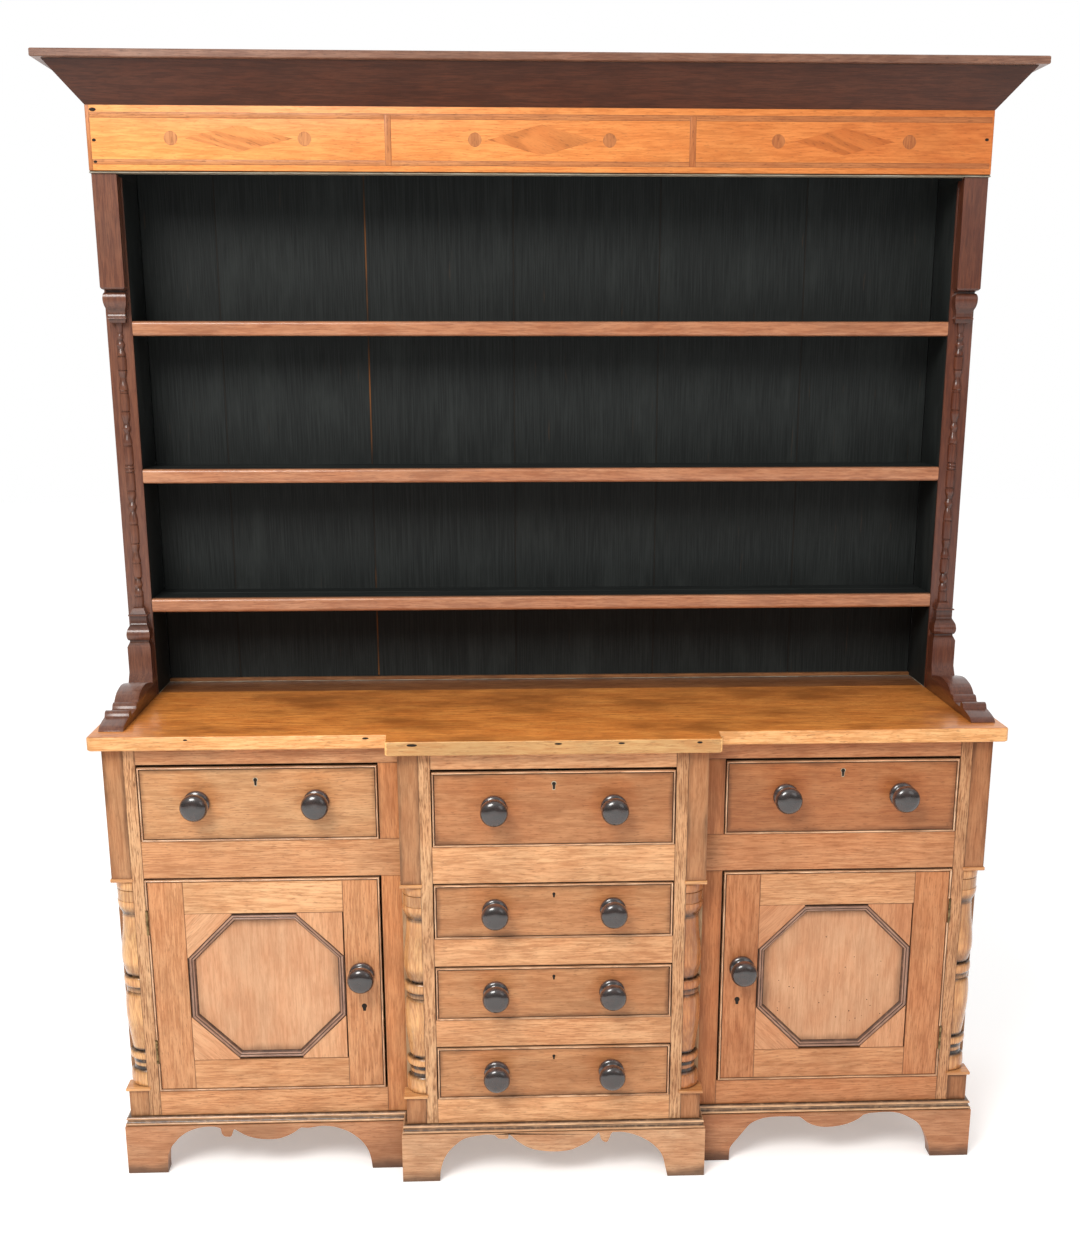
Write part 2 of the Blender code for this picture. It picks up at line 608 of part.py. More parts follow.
def add_knob(name, parent, x, face, z):
    """A turned knob with the dowel that holds it, and its hole in the front behind it."""
    dowel = ((DOWEL_RADIUS, -DOWEL_LENGTH), (DOWEL_RADIUS, GAP))
    profile = list(dowel) + [(radius * MM, max(reach * MM, GAP)) for radius, reach in KNOB_PROFILE]
    knob = add_part(name, turned(profile, KNOB_SIDES), KNOB_WOOD, parent.parent, (x, face, z), 40)
    knob.rotation_euler.x = math.pi / 2
    hole = [[(x + (DOWEL_RADIUS + GAP) * math.cos(angle), y,
              z + (DOWEL_RADIUS + GAP) * math.sin(angle))
             for angle in (2 * math.pi * i / KNOB_SIDES for i in range(KNOB_SIDES))]
            for y in (face - OVERLAP, face + DOWEL_LENGTH + DOWEL_END_GAP)]
    add_guide(parent, f"{name}_hole", loft(hole), "DIFFERENCE")


def build_drawer(name, centre_x, face_y, bottom_z, opening_width, opening_height, knob_shift=0.0):
    """A drawer that slides on its opening's lower edge. Its frame is at that edge's middle."""
    slide = add_axis(f"{name}_slide", (centre_x, face_y, bottom_z))
    half = opening_width / 2 - DRAWER_SIDE_GAP
    top = opening_height - DRAWER_TOP_GAP
    boxes = [(-half, half, 0, DRAWER_FRONT, GAP, top)] + bead_boxes(-half, half, 0, GAP, top)
    front = add_part(f"{name}_front", box_union(boxes), OAK, slide)

    start = DRAWER_FRONT + GAP
    end = BACK_INNER_Y - DRAWER_BACK_GAP - face_y
    wall_top = top - DRAWER_WALL_DROP
    inner = half - DRAWER_WALL
    boxes = [(-half, half, start, end, GAP, GAP + DRAWER_BOTTOM),
             (-half, -inner, start, end, GAP, wall_top),
             (inner, half, start, end, GAP, wall_top),
             (-half, half, end - DRAWER_WALL, end, GAP, wall_top)]
    add_part(f"{name}_box", box_union(boxes), RAW_OAK, slide)

    height = (GAP + top) / 2 + KNOB_RISE
    for side_name, side in (("left", -1), ("right", 1)):
        x = knob_shift + side * KNOB_SPREAD / 2
        add_knob(f"{name}_knob_{side_name}", front, x, 0, height)


def build_drawers():
    width = SIDE_OUTER_X - SIDE_INNER_X
    middle = (SIDE_OUTER_X + SIDE_INNER_X) / 2
    for name, side in (("left", -1), ("right", 1)):
        build_drawer(f"{name}_drawer", side * middle, SIDE_Y, TOP_DRAWER_Z, width,
                     TOP_DRAWER_OPENING, side * SIDE_KNOB_SHIFT)
    heights = [TOP_DRAWER_OPENING] + [LOWER_OPENING] * LOWER_DRAWERS
    for number, (bottom, height) in enumerate(zip(centre_openings(), heights), 1):
        build_drawer(f"centre_drawer_{number}", 0, FRONT_Y, bottom, 2 * CENTRE_OPENING_X, height)


def octagon(apothem, centre_x, y, centre_z):
    """A regular octagon with level and upright flats."""
    radius = apothem / math.cos(math.pi / 8)
    angles = [math.pi / 8 + math.pi / 4 * i for i in range(8)]
    return [(centre_x + radius * math.cos(a), y, centre_z + radius * math.sin(a)) for a in angles]


def dished_octagon(apothem, centre_x, face, centre_z):
    """The hollow in a door panel: two reeds that slope in to the recessed field."""
    reed = OCTAGON_MOULDING / 2
    drop = FIELD_RECESS / 2
    rings = [octagon(apothem, centre_x, face - OVERLAP, centre_z)]
    for number in range(2):
        for i in range(5):
            turn = math.pi * i / 4
            inset = reed * (number + (1 - math.cos(turn)) / 2)
            depth = drop * (number + 0.35) - drop * 0.35 * math.sin(turn) + drop * 0.65 * i / 4
            rings.append(octagon(apothem - inset - number * MM / 10, centre_x, face + depth,
                                 centre_z))
    return loft(rings)


def hinge_outline(side, grow):
    """Plan of a butt hinge about its pin: the barrel, and the leaf that is let into the stile."""
    radius = HINGE_RADIUS + grow
    outer = -(DOOR_HINGE_GAP + HINGE_LET_IN + grow)
    inner = grow - GAP
    start = math.acos(inner / radius)
    sweep = 2 * math.pi - math.acos(outer / radius) + start
    points = [(outer, HINGE_LEAF + grow), (inner, HINGE_LEAF + grow)]
    for i in range(HINGE_SIDES + 1):
        angle = start - sweep * i / HINGE_SIDES
        points.append((radius * math.cos(angle), radius * math.sin(angle)))
    return [(-side * x, y) for x, y in points]


def build_hinges(door, frame, side, low, high):
    """Two butt hinges fixed to the face frame, with room for their barrels in the door."""
    where = (side * HINGE_X, HINGE_Y, 0)
    places = (("upper", high - HINGE_INSET - HINGE_LENGTH), ("lower", low + HINGE_INSET))
    stile = bpy.data.objects[door.replace("door", "face_frame")]
    for place, bottom in places:
        levels = (FLOOR_Z + bottom, FLOOR_Z + bottom + HINGE_LENGTH)
        body = loft([[(x, y, z) for x, y in hinge_outline(side, 0)] for z in levels])
        add_part(f"{door}_hinge_{place}", body, BRASS, location=where, smooth_angle=40)
        room = (levels[0] - GAP, levels[1] + GAP)
        cut = loft([[(x, y, z) for x, y in hinge_outline(side, GAP)] for z in room])
        add_guide(stile, f"{door}_{place}_leaf_cut", cut, "DIFFERENCE", where)
        barrel = [(HINGE_RADIUS + GAP, z - FLOOR_Z) for z in room]
        cut = turned(barrel, HINGE_SIDES, math.pi / HINGE_SIDES)
        add_guide(frame, f"{door}_{place}_barrel_cut", cut, "DIFFERENCE")


def build_door(name, side):
    """A framed door that turns on its outer edge. Its frame is on the hinges' axis."""
    face = BEAD_PROUD / 2
    hinge = add_axis(f"{name}_axis", (side * HINGE_X, HINGE_Y, FLOOR_Z))
    width = HINGE_X - SIDE_INNER_X - DOOR_LATCH_GAP
    low = DOOR_BOTTOM_GAP
    high = DOOR_TOP_Z - DOOR_TOP_GAP - FLOOR_Z
    x0, x1 = DOOR_STILE, width - DOOR_STILE
    z0, z1 = low + DOOR_BOTTOM_RAIL, high - DOOR_TOP_RAIL
    rebate = face + REBATE_DEPTH
    back = face + DOOR_THICK
    boxes = bead_boxes(0, width, face, low, high)
    for depth, grow in (((face, rebate), 0), ((rebate, back), REBATE_WIDTH)):
        boxes += [(0, x0 - grow, *depth, low, high), (x1 + grow, width, *depth, low, high),
                  (0, width, *depth, low, z0 - grow), (0, width, *depth, z1 + grow, high)]
    # The door is laid out from its hinge edge, which is mirrored for the left door.
    frame = add_part(f"{name}_frame", box_union([mirrored(box, -side) for box in boxes]), OAK,
                     hinge)

    seat = rebate + GAP
    lip = REBATE_WIDTH - GAP
    boxes = [(x0 + GAP, x1 - GAP, face, seat, z0 + GAP, z1 - GAP),
             (x0 - lip, x1 + lip, seat, back - PANEL_BACK_SETBACK, z0 - lip, z1 + lip)]
    panel = add_part(f"{name}_panel", box_union([mirrored(box, -side) for box in boxes]), OAK,
                     hinge)
    apothem = min(x1 - x0, z1 - z0) / 2 - OCTAGON_MARGIN
    dish = dished_octagon(apothem, -side * (x0 + x1) / 2, face, (z0 + z1) / 2)
    add_guide(panel, f"{name}_octagon_cut", dish, "DIFFERENCE")
    add_knob(f"{name}_knob", frame, -side * (width - DOOR_KNOB_INSET), face,
             (low + high) / 2 + DOOR_KNOB_RISE)
    build_hinges(name, frame, side, low, high)


def pilaster_levels():
    """Rings of the square pilaster, from the scroll foot to the frieze, with no side given."""
    base = [(WORKTOP_HEIGHT + rise * MM, *inset) for rise, *inset in PILASTER_BASE]
    head = [(FRIEZE_Z - GAP - drop * MM, *inset) for drop, *inset in PILASTER_HEAD]
    return base, head


def square_stack(levels, side):
    """Skin the squares of a pilaster. Its back runs into the standard."""
    rings = []
    for height, side_inset, front_inset in levels:
        half = PILASTER_WIDTH / 2 - side_inset * MM
        front = RACK_Y - PILASTER_PROUD + front_inset * MM
        back = RACK_Y + OVERLAP
        rings.append([(side * (PILASTER_X - half), front, height),
                      (side * (PILASTER_X + half), front, height),
                      (side * (PILASTER_X + half), back, height),
                      (side * (PILASTER_X - half), back, height)])
    return loft(rings)


def split_turning(low, high, side):
    """The half turning on the front of a standard, alike above and below its middle."""
    middle = (low + high) / 2
    stretch = (high - low) / 2 / TURNING_PROFILE[-1][0]
    upper = [(radius * MM, middle + rise * stretch) for rise, radius in TURNING_PROFILE]
    lower = [(radius * MM, middle - rise * stretch) for rise, radius in TURNING_PROFILE[:0:-1]]
    body = turned(lower + upper, TURNING_SIDES, math.pi, math.pi)
    bmesh.ops.translate(body, verts=body.verts, vec=(side * PILASTER_X, RACK_Y + OVERLAP / 8, 0))
    return body


def build_standards():
    """The ends of the rack, each with a scroll foot, a pilaster and a split turning."""
    for name, side in (("left", -1), ("right", 1)):
        floor = WORKTOP_HEIGHT + GAP
        under_cornice = FRIEZE_X - CORNICE_BOARD - GAP
        boxes = [(RACK_INNER_X, RACK_X, RACK_Y, BACK_Y, floor, FRIEZE_TOP_Z - GAP),
                 (RACK_INNER_X, RACK_X, FRIEZE_Y + FRIEZE_THICK + GAP, BACK_Y,
                  FRIEZE_Z - OVERLAP, FRIEZE_TOP_Z - GAP),
                 (RACK_INNER_X, under_cornice, FRIEZE_Y + FRIEZE_THICK + GAP, BACK_Y,
                  FRIEZE_TOP_Z - GAP, SLAB_Z - GAP)]
        body = box_union([mirrored(box, side) for box in boxes])
        standard = add_part(f"{name}_standard", body, RACK_OAK)

        base, head = pilaster_levels()
        add_guide(standard, f"{name}_pilaster_base", square_stack(base, side), "UNION")
        add_guide(standard, f"{name}_pilaster_head", square_stack(head, side), "UNION")
        turning = split_turning(base[-1][0] - MM, head[0][0] + MM, side)
        add_guide(standard, f"{name}_split_turning", turning, "UNION")

        top = SCROLL_FOOT[0][1] * MM
        outline = [(RACK_Y + OVERLAP, floor), (RACK_Y + OVERLAP, WORKTOP_HEIGHT + top)]
        outline += [(RACK_Y - reach * MM, WORKTOP_HEIGHT + max(rise * MM, GAP))
                    for reach, rise in SCROLL_FOOT]
        half = PILASTER_WIDTH / 2
        foot = prism_x(outline, side * (PILASTER_X - half), side * (PILASTER_X + half))
        add_guide(standard, f"{name}_scroll_foot", foot, "UNION")


def build_shelves():
    half = RACK_INNER_X - GAP
    for number, rise in enumerate(SHELF_RISES, 1):
        bottom = WORKTOP_HEIGHT + rise
        top = bottom + SHELF_THICK
        back = BACK_INNER_Y - GAP
        groove = BACK_INNER_Y - PLATE_GROOVE_PLACE
        outline = [(back, bottom), (back, top), (groove + PLATE_GROOVE / 2, top),
                   (groove, top - PLATE_GROOVE / 2), (groove - PLATE_GROOVE / 2, top)]
        for corner_z, start in ((top - SHELF_NOSE, math.pi / 2), (bottom + SHELF_NOSE, math.pi)):
            for i in range(5):
                angle = start + math.pi / 2 * i / 4
                outline.append((RACK_Y + SHELF_NOSE * (1 + math.cos(angle)),
                                corner_z + SHELF_NOSE * math.sin(angle)))
        add_part(f"shelf_{number}", prism_x(outline, -half, half), SHELF_OAK, smooth_angle=35)


def build_rack_back():
    """Upright boards, joined here as one, with a V groove at each joint and a sole batten."""
    half = RACK_INNER_X - GAP
    outline = [(-half, BACK_Y), (-half, BACK_INNER_Y)]
    joint = FIRST_BACK_BOARD - RACK_INNER_X
    while joint < half - V_GROOVE:
        outline += [(joint - V_GROOVE / 2, BACK_INNER_Y), (joint, BACK_INNER_Y + V_GROOVE / 2),
                    (joint + V_GROOVE / 2, BACK_INNER_Y)]
        joint += BACK_BOARD_WIDTH
    outline += [(half, BACK_INNER_Y), (half, BACK_Y)]
    bottom = WORKTOP_HEIGHT + GAP
    body = loft([[(x, y, z) for x, y in outline] for z in (bottom, SLAB_Z - GAP)])
    back = add_part("rack_back", body, BLACK_PAINT)
    batten = (-half, half, BACK_INNER_Y - BATTEN_DEPTH, BACK_INNER_Y + BACK_BOARD / 2,
              bottom, WORKTOP_HEIGHT + BATTEN_HEIGHT)
    add_guide(back, "sole_batten", box_union([batten]), "UNION")


def build_frieze():
    """The board under the cornice, with a half-round bead along its lower edge."""
    bead_top = FRIEZE_Z + FRIEZE_BEAD
    back = FRIEZE_Y + FRIEZE_THICK
    outline = [(back, FRIEZE_Z), (back, FRIEZE_TOP_Z - GAP), (FRIEZE_Y, FRIEZE_TOP_Z - GAP),
               (FRIEZE_Y, bead_top)]
    for i in range(1, 6):
        angle = math.pi * i / 6
        outline.append((FRIEZE_Y - FRIEZE_BEAD_PROUD * math.sin(angle),
                        bead_top - FRIEZE_BEAD * (1 - math.cos(angle)) / 2))
    outline.append((FRIEZE_Y, FRIEZE_Z))
    add_part("frieze", prism_x(outline, -FRIEZE_X, FRIEZE_X), FRIEZE_OAK)


def build_cornice():
    """A sloping board mitred round the front and sides, under a slab that covers the rack."""
    rings = []
    for height, grow in ((FRIEZE_TOP_Z, 0), (SLAB_Z + OVERLAP, CORNICE_REACH)):
        outer_x = FRIEZE_X + grow
        outer_y = FRIEZE_Y - grow
        inner_x = outer_x - CORNICE_BOARD
        inner_y = outer_y + CORNICE_BOARD
        ring = [(outer_x, outer_y), (outer_x, BACK_Y), (inner_x, BACK_Y), (inner_x, inner_y)]
        ring += [(-x, y) for x, y in reversed(ring)]
        rings.append([(x, y, height) for x, y in ring])
    reach = CORNICE_REACH + SLAB_LIP
    slab = (-FRIEZE_X - reach, FRIEZE_X + reach, FRIEZE_Y - reach, BACK_Y, SLAB_Z, OVERALL_HEIGHT)
    cornice = add_part("cornice", box_union([slab]), CORNICE_OAK)
    add_guide(cornice, "cornice_slope", loft(rings), "UNION")


def main():
    for thing in list(bpy.data.objects):
        bpy.data.objects.remove(thing)
    build_worktop()
    build_carcass()
    build_face_frames()
    build_columns()
    build_plinth()
    build_drawers()
    build_door("left_door", -1)
    build_door("right_door", 1)
    build_standards()
    build_shelves()
    build_rack_back()
    build_frieze()
    build_cornice()


main()
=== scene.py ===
"""Kitchen dresser in oak: boards with their own grain, turned columns, inlay and brass."""

import math
import random
from types import SimpleNamespace

import bmesh
import bpy
from mathutils import Matrix, Vector


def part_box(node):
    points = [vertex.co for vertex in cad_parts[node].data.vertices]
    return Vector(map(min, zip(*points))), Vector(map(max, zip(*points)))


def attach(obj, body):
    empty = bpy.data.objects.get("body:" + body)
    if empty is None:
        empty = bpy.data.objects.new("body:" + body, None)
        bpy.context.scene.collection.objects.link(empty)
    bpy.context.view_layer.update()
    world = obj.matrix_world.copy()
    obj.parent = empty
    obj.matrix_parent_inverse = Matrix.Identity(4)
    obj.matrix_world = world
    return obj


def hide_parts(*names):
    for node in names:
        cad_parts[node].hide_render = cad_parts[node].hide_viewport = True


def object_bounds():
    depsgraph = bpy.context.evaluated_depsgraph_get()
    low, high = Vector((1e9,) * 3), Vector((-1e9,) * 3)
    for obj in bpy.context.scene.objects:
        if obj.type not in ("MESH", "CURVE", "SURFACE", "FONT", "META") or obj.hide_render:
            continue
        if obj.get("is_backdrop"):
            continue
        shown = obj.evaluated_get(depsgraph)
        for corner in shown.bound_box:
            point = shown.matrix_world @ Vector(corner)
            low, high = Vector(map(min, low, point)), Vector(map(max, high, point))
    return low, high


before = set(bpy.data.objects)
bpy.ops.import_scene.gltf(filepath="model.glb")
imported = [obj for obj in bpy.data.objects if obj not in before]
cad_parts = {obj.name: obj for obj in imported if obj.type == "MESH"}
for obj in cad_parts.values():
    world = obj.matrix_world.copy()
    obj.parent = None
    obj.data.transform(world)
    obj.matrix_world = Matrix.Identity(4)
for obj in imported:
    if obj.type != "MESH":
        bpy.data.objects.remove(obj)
CAD_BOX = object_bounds()

bl_info = {
    "name": "Kitchen dresser",
    "version": (1, 0, 0),
    "blender": (4, 5, 0),
    "location": "View3D > Sidebar > Dresser",
    "description": "Builds the timber, mouldings, inlay and fittings of a kitchen dresser",
    "category": "Object",
}

MM = 0.001
X, Y, Z = Vector((1, 0, 0)), Vector((0, 1, 0)), Vector((0, 0, 1))
DRAWERS = ("left_drawer", "right_drawer", "centre_drawer_1", "centre_drawer_2",
           "centre_drawer_3", "centre_drawer_4")


def span(node):
    """The edges of a node's box."""
    low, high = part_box(node)
    return SimpleNamespace(x0=low.x, x1=high.x, y0=low.y, y1=high.y, z0=low.z, z1=high.z)


# Places read from the frame
TOP = span("worktop")
OUTER = span("outer_right_column")
INNER = span("inner_right_column")
PLINTH = span("plinth")
SHELF = span("shelf_1")
BACKING = span("rack_back")
BAND = span("frieze")
CORNICE = span("cornice")
GAP = 0.0003  # between neighbours that would else share a face
BASE_X, SIDE_Y = OUTER.x1, OUTER.y0
CENTRE_X, FRONT_Y = INNER.x1, INNER.y0
BACK_Y = TOP.y1
BLOCK = OUTER.x1 - OUTER.x0 + GAP
COLUMN_LOW, COLUMN_HIGH = OUTER.z0 - GAP, OUTER.z1 + GAP
FRAME_LOW, FRAME_HIGH = PLINTH.z1 + GAP, TOP.z0 - GAP
DRAWER_TOP_GAP = 0.0035
DOOR_TOP_GAP, DOOR_FOOT_GAP = 0.004, 0.001
DOOR_HEAD = span("left_door_frame").z1 + DOOR_TOP_GAP
FRIEZE_BEAD_PROUD = 0.002
FRIEZE_FACE = BAND.y0 + FRIEZE_BEAD_PROUD

# Sizes that the frame's boxes don't give
RAIL_DEPTH = 0.022
POST_DEPTH = 0.0577
END_THICK = 0.018
END_JOINT = 0.58  # where the two boards of an end meet, as a share of its depth
BACK_BOARDS = 8  # boards side by side in the back of the base
ABACUS_PROUD = 0.0025
CAP_PROUD = 0.005
CAP_THICK = 0.006
PLATE_ROUND = 0.0022  # rounding of the abacus and the cap
PLINTH_BOARD = 0.022
PLINTH_PROUD = 0.011
BAND_HEIGHT = 0.0185
DRAWER_GAP = 0.002
DRAWER_FRONT = 0.020
BEAD_PROUD = 0.0025
BEAD_WIDTH = 0.0031
BEAD_SHAPE = 0.7  # 1 makes a bead's section half of an ellipse, and less makes it fuller
BEAD_QUIRK = 0.0012  # groove inside a cockbead, painted dark with dirt and shade
QUIRK_DEPTH, QUIRK_BOTTOM = 0.0018, 0.0035
DRAWER_SAG = 0.0022  # how far the fronts of the top drawers have dropped
DOOR_THICK = 0.020
DOOR_STILE = 0.071
DOOR_TOP_RAIL = 0.069
DOOR_BOTTOM_RAIL = 0.065
OCTAGON_MARGIN = 0.00175
PILASTER_WIDTH = 0.046
PILASTER_PROUD = 0.038
FRIEZE_THICK = 0.020
CORNICE_REACH = 0.058
CORNICE_THICK = 0.020
SLAB_LIP = 0.016
SLAB_THICK = 0.014
SLAB_EASES = (0.0015, 0.002)  # at the slab's lower and upper edge
HOLLOW_REACH = 0.008  # dirt and painted shade lie where something this near stands prouder
HOLLOW_DEPTH = 0.0035  # a hollow as deep as this is full of dirt and painted shade
ARRIS_SHAPE = 0.6
CORNER = math.radians(28)  # a sawn edge that turns more than this is eased
SHADING_EDGE = math.radians(30)  # an edge that turns more than this is shaded sharp
HAIR = 0.0001  # arris of thin metal and inlay
PLINTH_ARRIS = 0.0009
CLEAN = (False, False)  # no dirt or painted shade along the long or the short edges of a board
SKIN = 0.0002  # how far a thin thing lies proud of what it covers, or clear of it
FAR = 9.0  # too far off to count


# Shapes

def board(x0, x1, y0, y1, z0, z1, arris=None, steps=2):
    """A squared board with its arrises taken off."""
    body = bmesh.new()
    size = Vector((x1 - x0, y1 - y0, z1 - z0))
    middle = Vector((x0 + x1, y0 + y1, z0 + z1)) / 2
    bmesh.ops.create_cube(body, size=1, matrix=Matrix.LocRotScale(middle, None, size))
    width = min(arris or sizes().arris, 0.3 * min(size))
    bmesh.ops.bevel(body, geom=body.edges[:], offset=width, segments=steps,
                    profile=ARRIS_SHAPE, affect="EDGES")
    return body


def mirrored(x0, x1, side):
    """Two places along X that are given on the right, put on their side."""
    return (x0, x1) if side > 0 else (-x1, -x0)


def cut_out(outline, axis, start, end, arris=0.0):
    """A shape sawn from a board: its outline run along an axis, with its sharp edges eased."""
    def place(point, along):
        point = list(point)
        point.insert(axis, along)
        return point

    body = bmesh.new()
    near = [body.verts.new(place(point, start)) for point in outline]
    far = [body.verts.new(place(point, end)) for point in outline]
    body.faces.new(near)
    body.faces.new(far)
    for i in range(len(outline)):
        j = (i + 1) % len(outline)
        body.faces.new((near[i], near[j], far[j], far[i]))
    bmesh.ops.recalc_face_normals(body, faces=body.faces)
    if arris:
        edges = [edge for edge in body.edges if edge.calc_face_angle(0) > CORNER]
        bmesh.ops.bevel(body, geom=edges, offset=arris, segments=2,
                        profile=ARRIS_SHAPE, affect="EDGES", clamp_overlap=True)
    return body


def loft(rings):
    """Skin a closed body over rings of points."""
    body = bmesh.new()
    loops = [[body.verts.new(point) for point in ring] for ring in rings]
    for lower, upper in zip(loops, loops[1:]):
        for i in range(len(lower)):
            j = (i + 1) % len(lower)
            body.faces.new((lower[i], lower[j], upper[j], upper[i]))
    body.faces.new(loops[0])
    body.faces.new(loops[-1])
    bmesh.ops.recalc_face_normals(body, faces=body.faces)
    return body


def smooth_run(points, steps):
    """Points on a smooth curve through the given ones, which it keeps."""
    curve = []
    padded = [points[0]] + list(points) + [points[-1]]
    for before, start, end, after in zip(padded, padded[1:], padded[2:], padded[3:]):
        for step in range(steps):
            t = step / steps
            curve.append(tuple(
                0.5 * (2 * b + (c - a) * t + (2 * a - 5 * b + 4 * c - d) * t ** 2
                       + (3 * b - a - 3 * c + d) * t ** 3)
                for a, b, c, d in zip(before, start, end, after)))
    return curve + [tuple(points[-1])]


def smooth_runs(runs, steps=5):
    """Several smooth runs that meet at sharp corners."""
    return [point for run in runs for point in (smooth_run(run, steps) if len(run) > 2 else run)]


def hollows(profile, reach=HOLLOW_REACH, depth=HOLLOW_DEPTH):
    """How deep each (place, proud) point lies below what stands near it, from 0 to 1."""
    return [min(1.0, (max(other for near, other in profile if abs(near - place) < reach) - proud)
                / depth) for place, proud in profile]


def soil_and_shade(body, grime_of):
    """Give a body its dirt and painted shade, which come from the number of each point."""
    dirt = body.verts.layers.float.new("grime")
    for i, vert in enumerate(body.verts):
        vert[dirt] = grime_of(i)
    return body


def turned(profile, steps, start=0.0, sweep=2 * math.pi):
    """Turn (radius, height) points about Z, with dirt and painted shade left in the hollows."""
    whole = sweep > 1.99 * math.pi
    angles = [start + sweep * i / steps for i in range(steps if whole else steps + 1)]
    rings = []
    for radius, height in profile:
        ring = [(radius * math.cos(a), radius * math.sin(a), height) for a in angles]
        rings.append(ring if whole else [(0, 0, height)] + ring)
    depths = hollows([(height, radius) for radius, height in profile])
    return soil_and_shade(loft(rings), lambda i: depths[i // len(rings[0])])


def mitred(shape, profile, place, closed=True, grimes=(0.0,)):
    """One closed length of moulding for each straight of a shape, mitred where they meet.

    shape(inset) gives the corners, the profile is closed (inset, depth) points, and
    place(corner, depth) puts a corner in space. The last argument is the dirt and painted shade at
    each of the points.
    """
    corners = [shape(inset) for inset, _ in profile]
    count = len(corners[0])
    lengths = []
    for k in range(count if closed else count - 1):
        ends = []
        for index in (k, (k + 1) % count):
            ends.append([place(corners[i][index], depth) for i, (_, depth) in enumerate(profile)])
        run = Vector(ends[1][0]) - Vector(ends[0][0])
        body = soil_and_shade(loft(ends), lambda i: grimes[i % len(grimes)])
        lengths.append((body, run.normalized()))
    return lengths


def upright(face):
    """Puts the corners of a moulding on an upright face. Depth runs to the back."""
    return lambda corner, depth: (corner[0], face + depth, corner[1])


def level(corner, height):
    """Puts the corner of a moulding that runs round the plan at its height."""
    return (*corner, height)


def rectangle(x0, x1, z0, z1):
    """The corners of a rectangle, drawn in by an inset."""
    return lambda inset: [(x0 + inset, z0 + inset), (x1 - inset, z0 + inset),
                          (x1 - inset, z1 - inset), (x0 + inset, z1 - inset)]


def octagon(centre_x, centre_z, apothem):
    """The corners of an octagon with level and upright flats, drawn in by an inset."""
    def corners(inset):
        radius = (apothem - inset) / math.cos(math.pi / 8)
        return [(centre_x + radius * math.cos(math.pi / 8 + math.pi / 4 * i),
                 centre_z + radius * math.sin(math.pi / 8 + math.pi / 4 * i)) for i in range(8)]
    return corners


def lozenge(centre_x, centre_z, width, height):
    return [(centre_x - width / 2, centre_z), (centre_x, centre_z - height / 2),
            (centre_x + width / 2, centre_z), (centre_x, centre_z + height / 2)]


def disc(centre_x, centre_z, radius_x, radius_z=None, steps=32):
    radius_z = radius_z or radius_x
    return [(centre_x + radius_x * math.cos(2 * math.pi * i / steps),
             centre_z + radius_z * math.sin(2 * math.pi * i / steps)) for i in range(steps)]


def moved(body, place):
    """A body put in place by a matrix."""
    bmesh.ops.transform(body, matrix=place, verts=body.verts)
    if place.determinant() < 0:
        bmesh.ops.reverse_faces(body, faces=body.faces)
    return body


# From least to most: the grain's slope, how deep the heart of the tree lies, and the tone
GRAIN_TILTS, PITH_DEPTHS, SHADES = (-0.09, 0.09), (0.015, 0.08), (-0.3, 0.3)
SIDEWAYS = 0.8  # a face that looks less than this the board's way is one of its sides


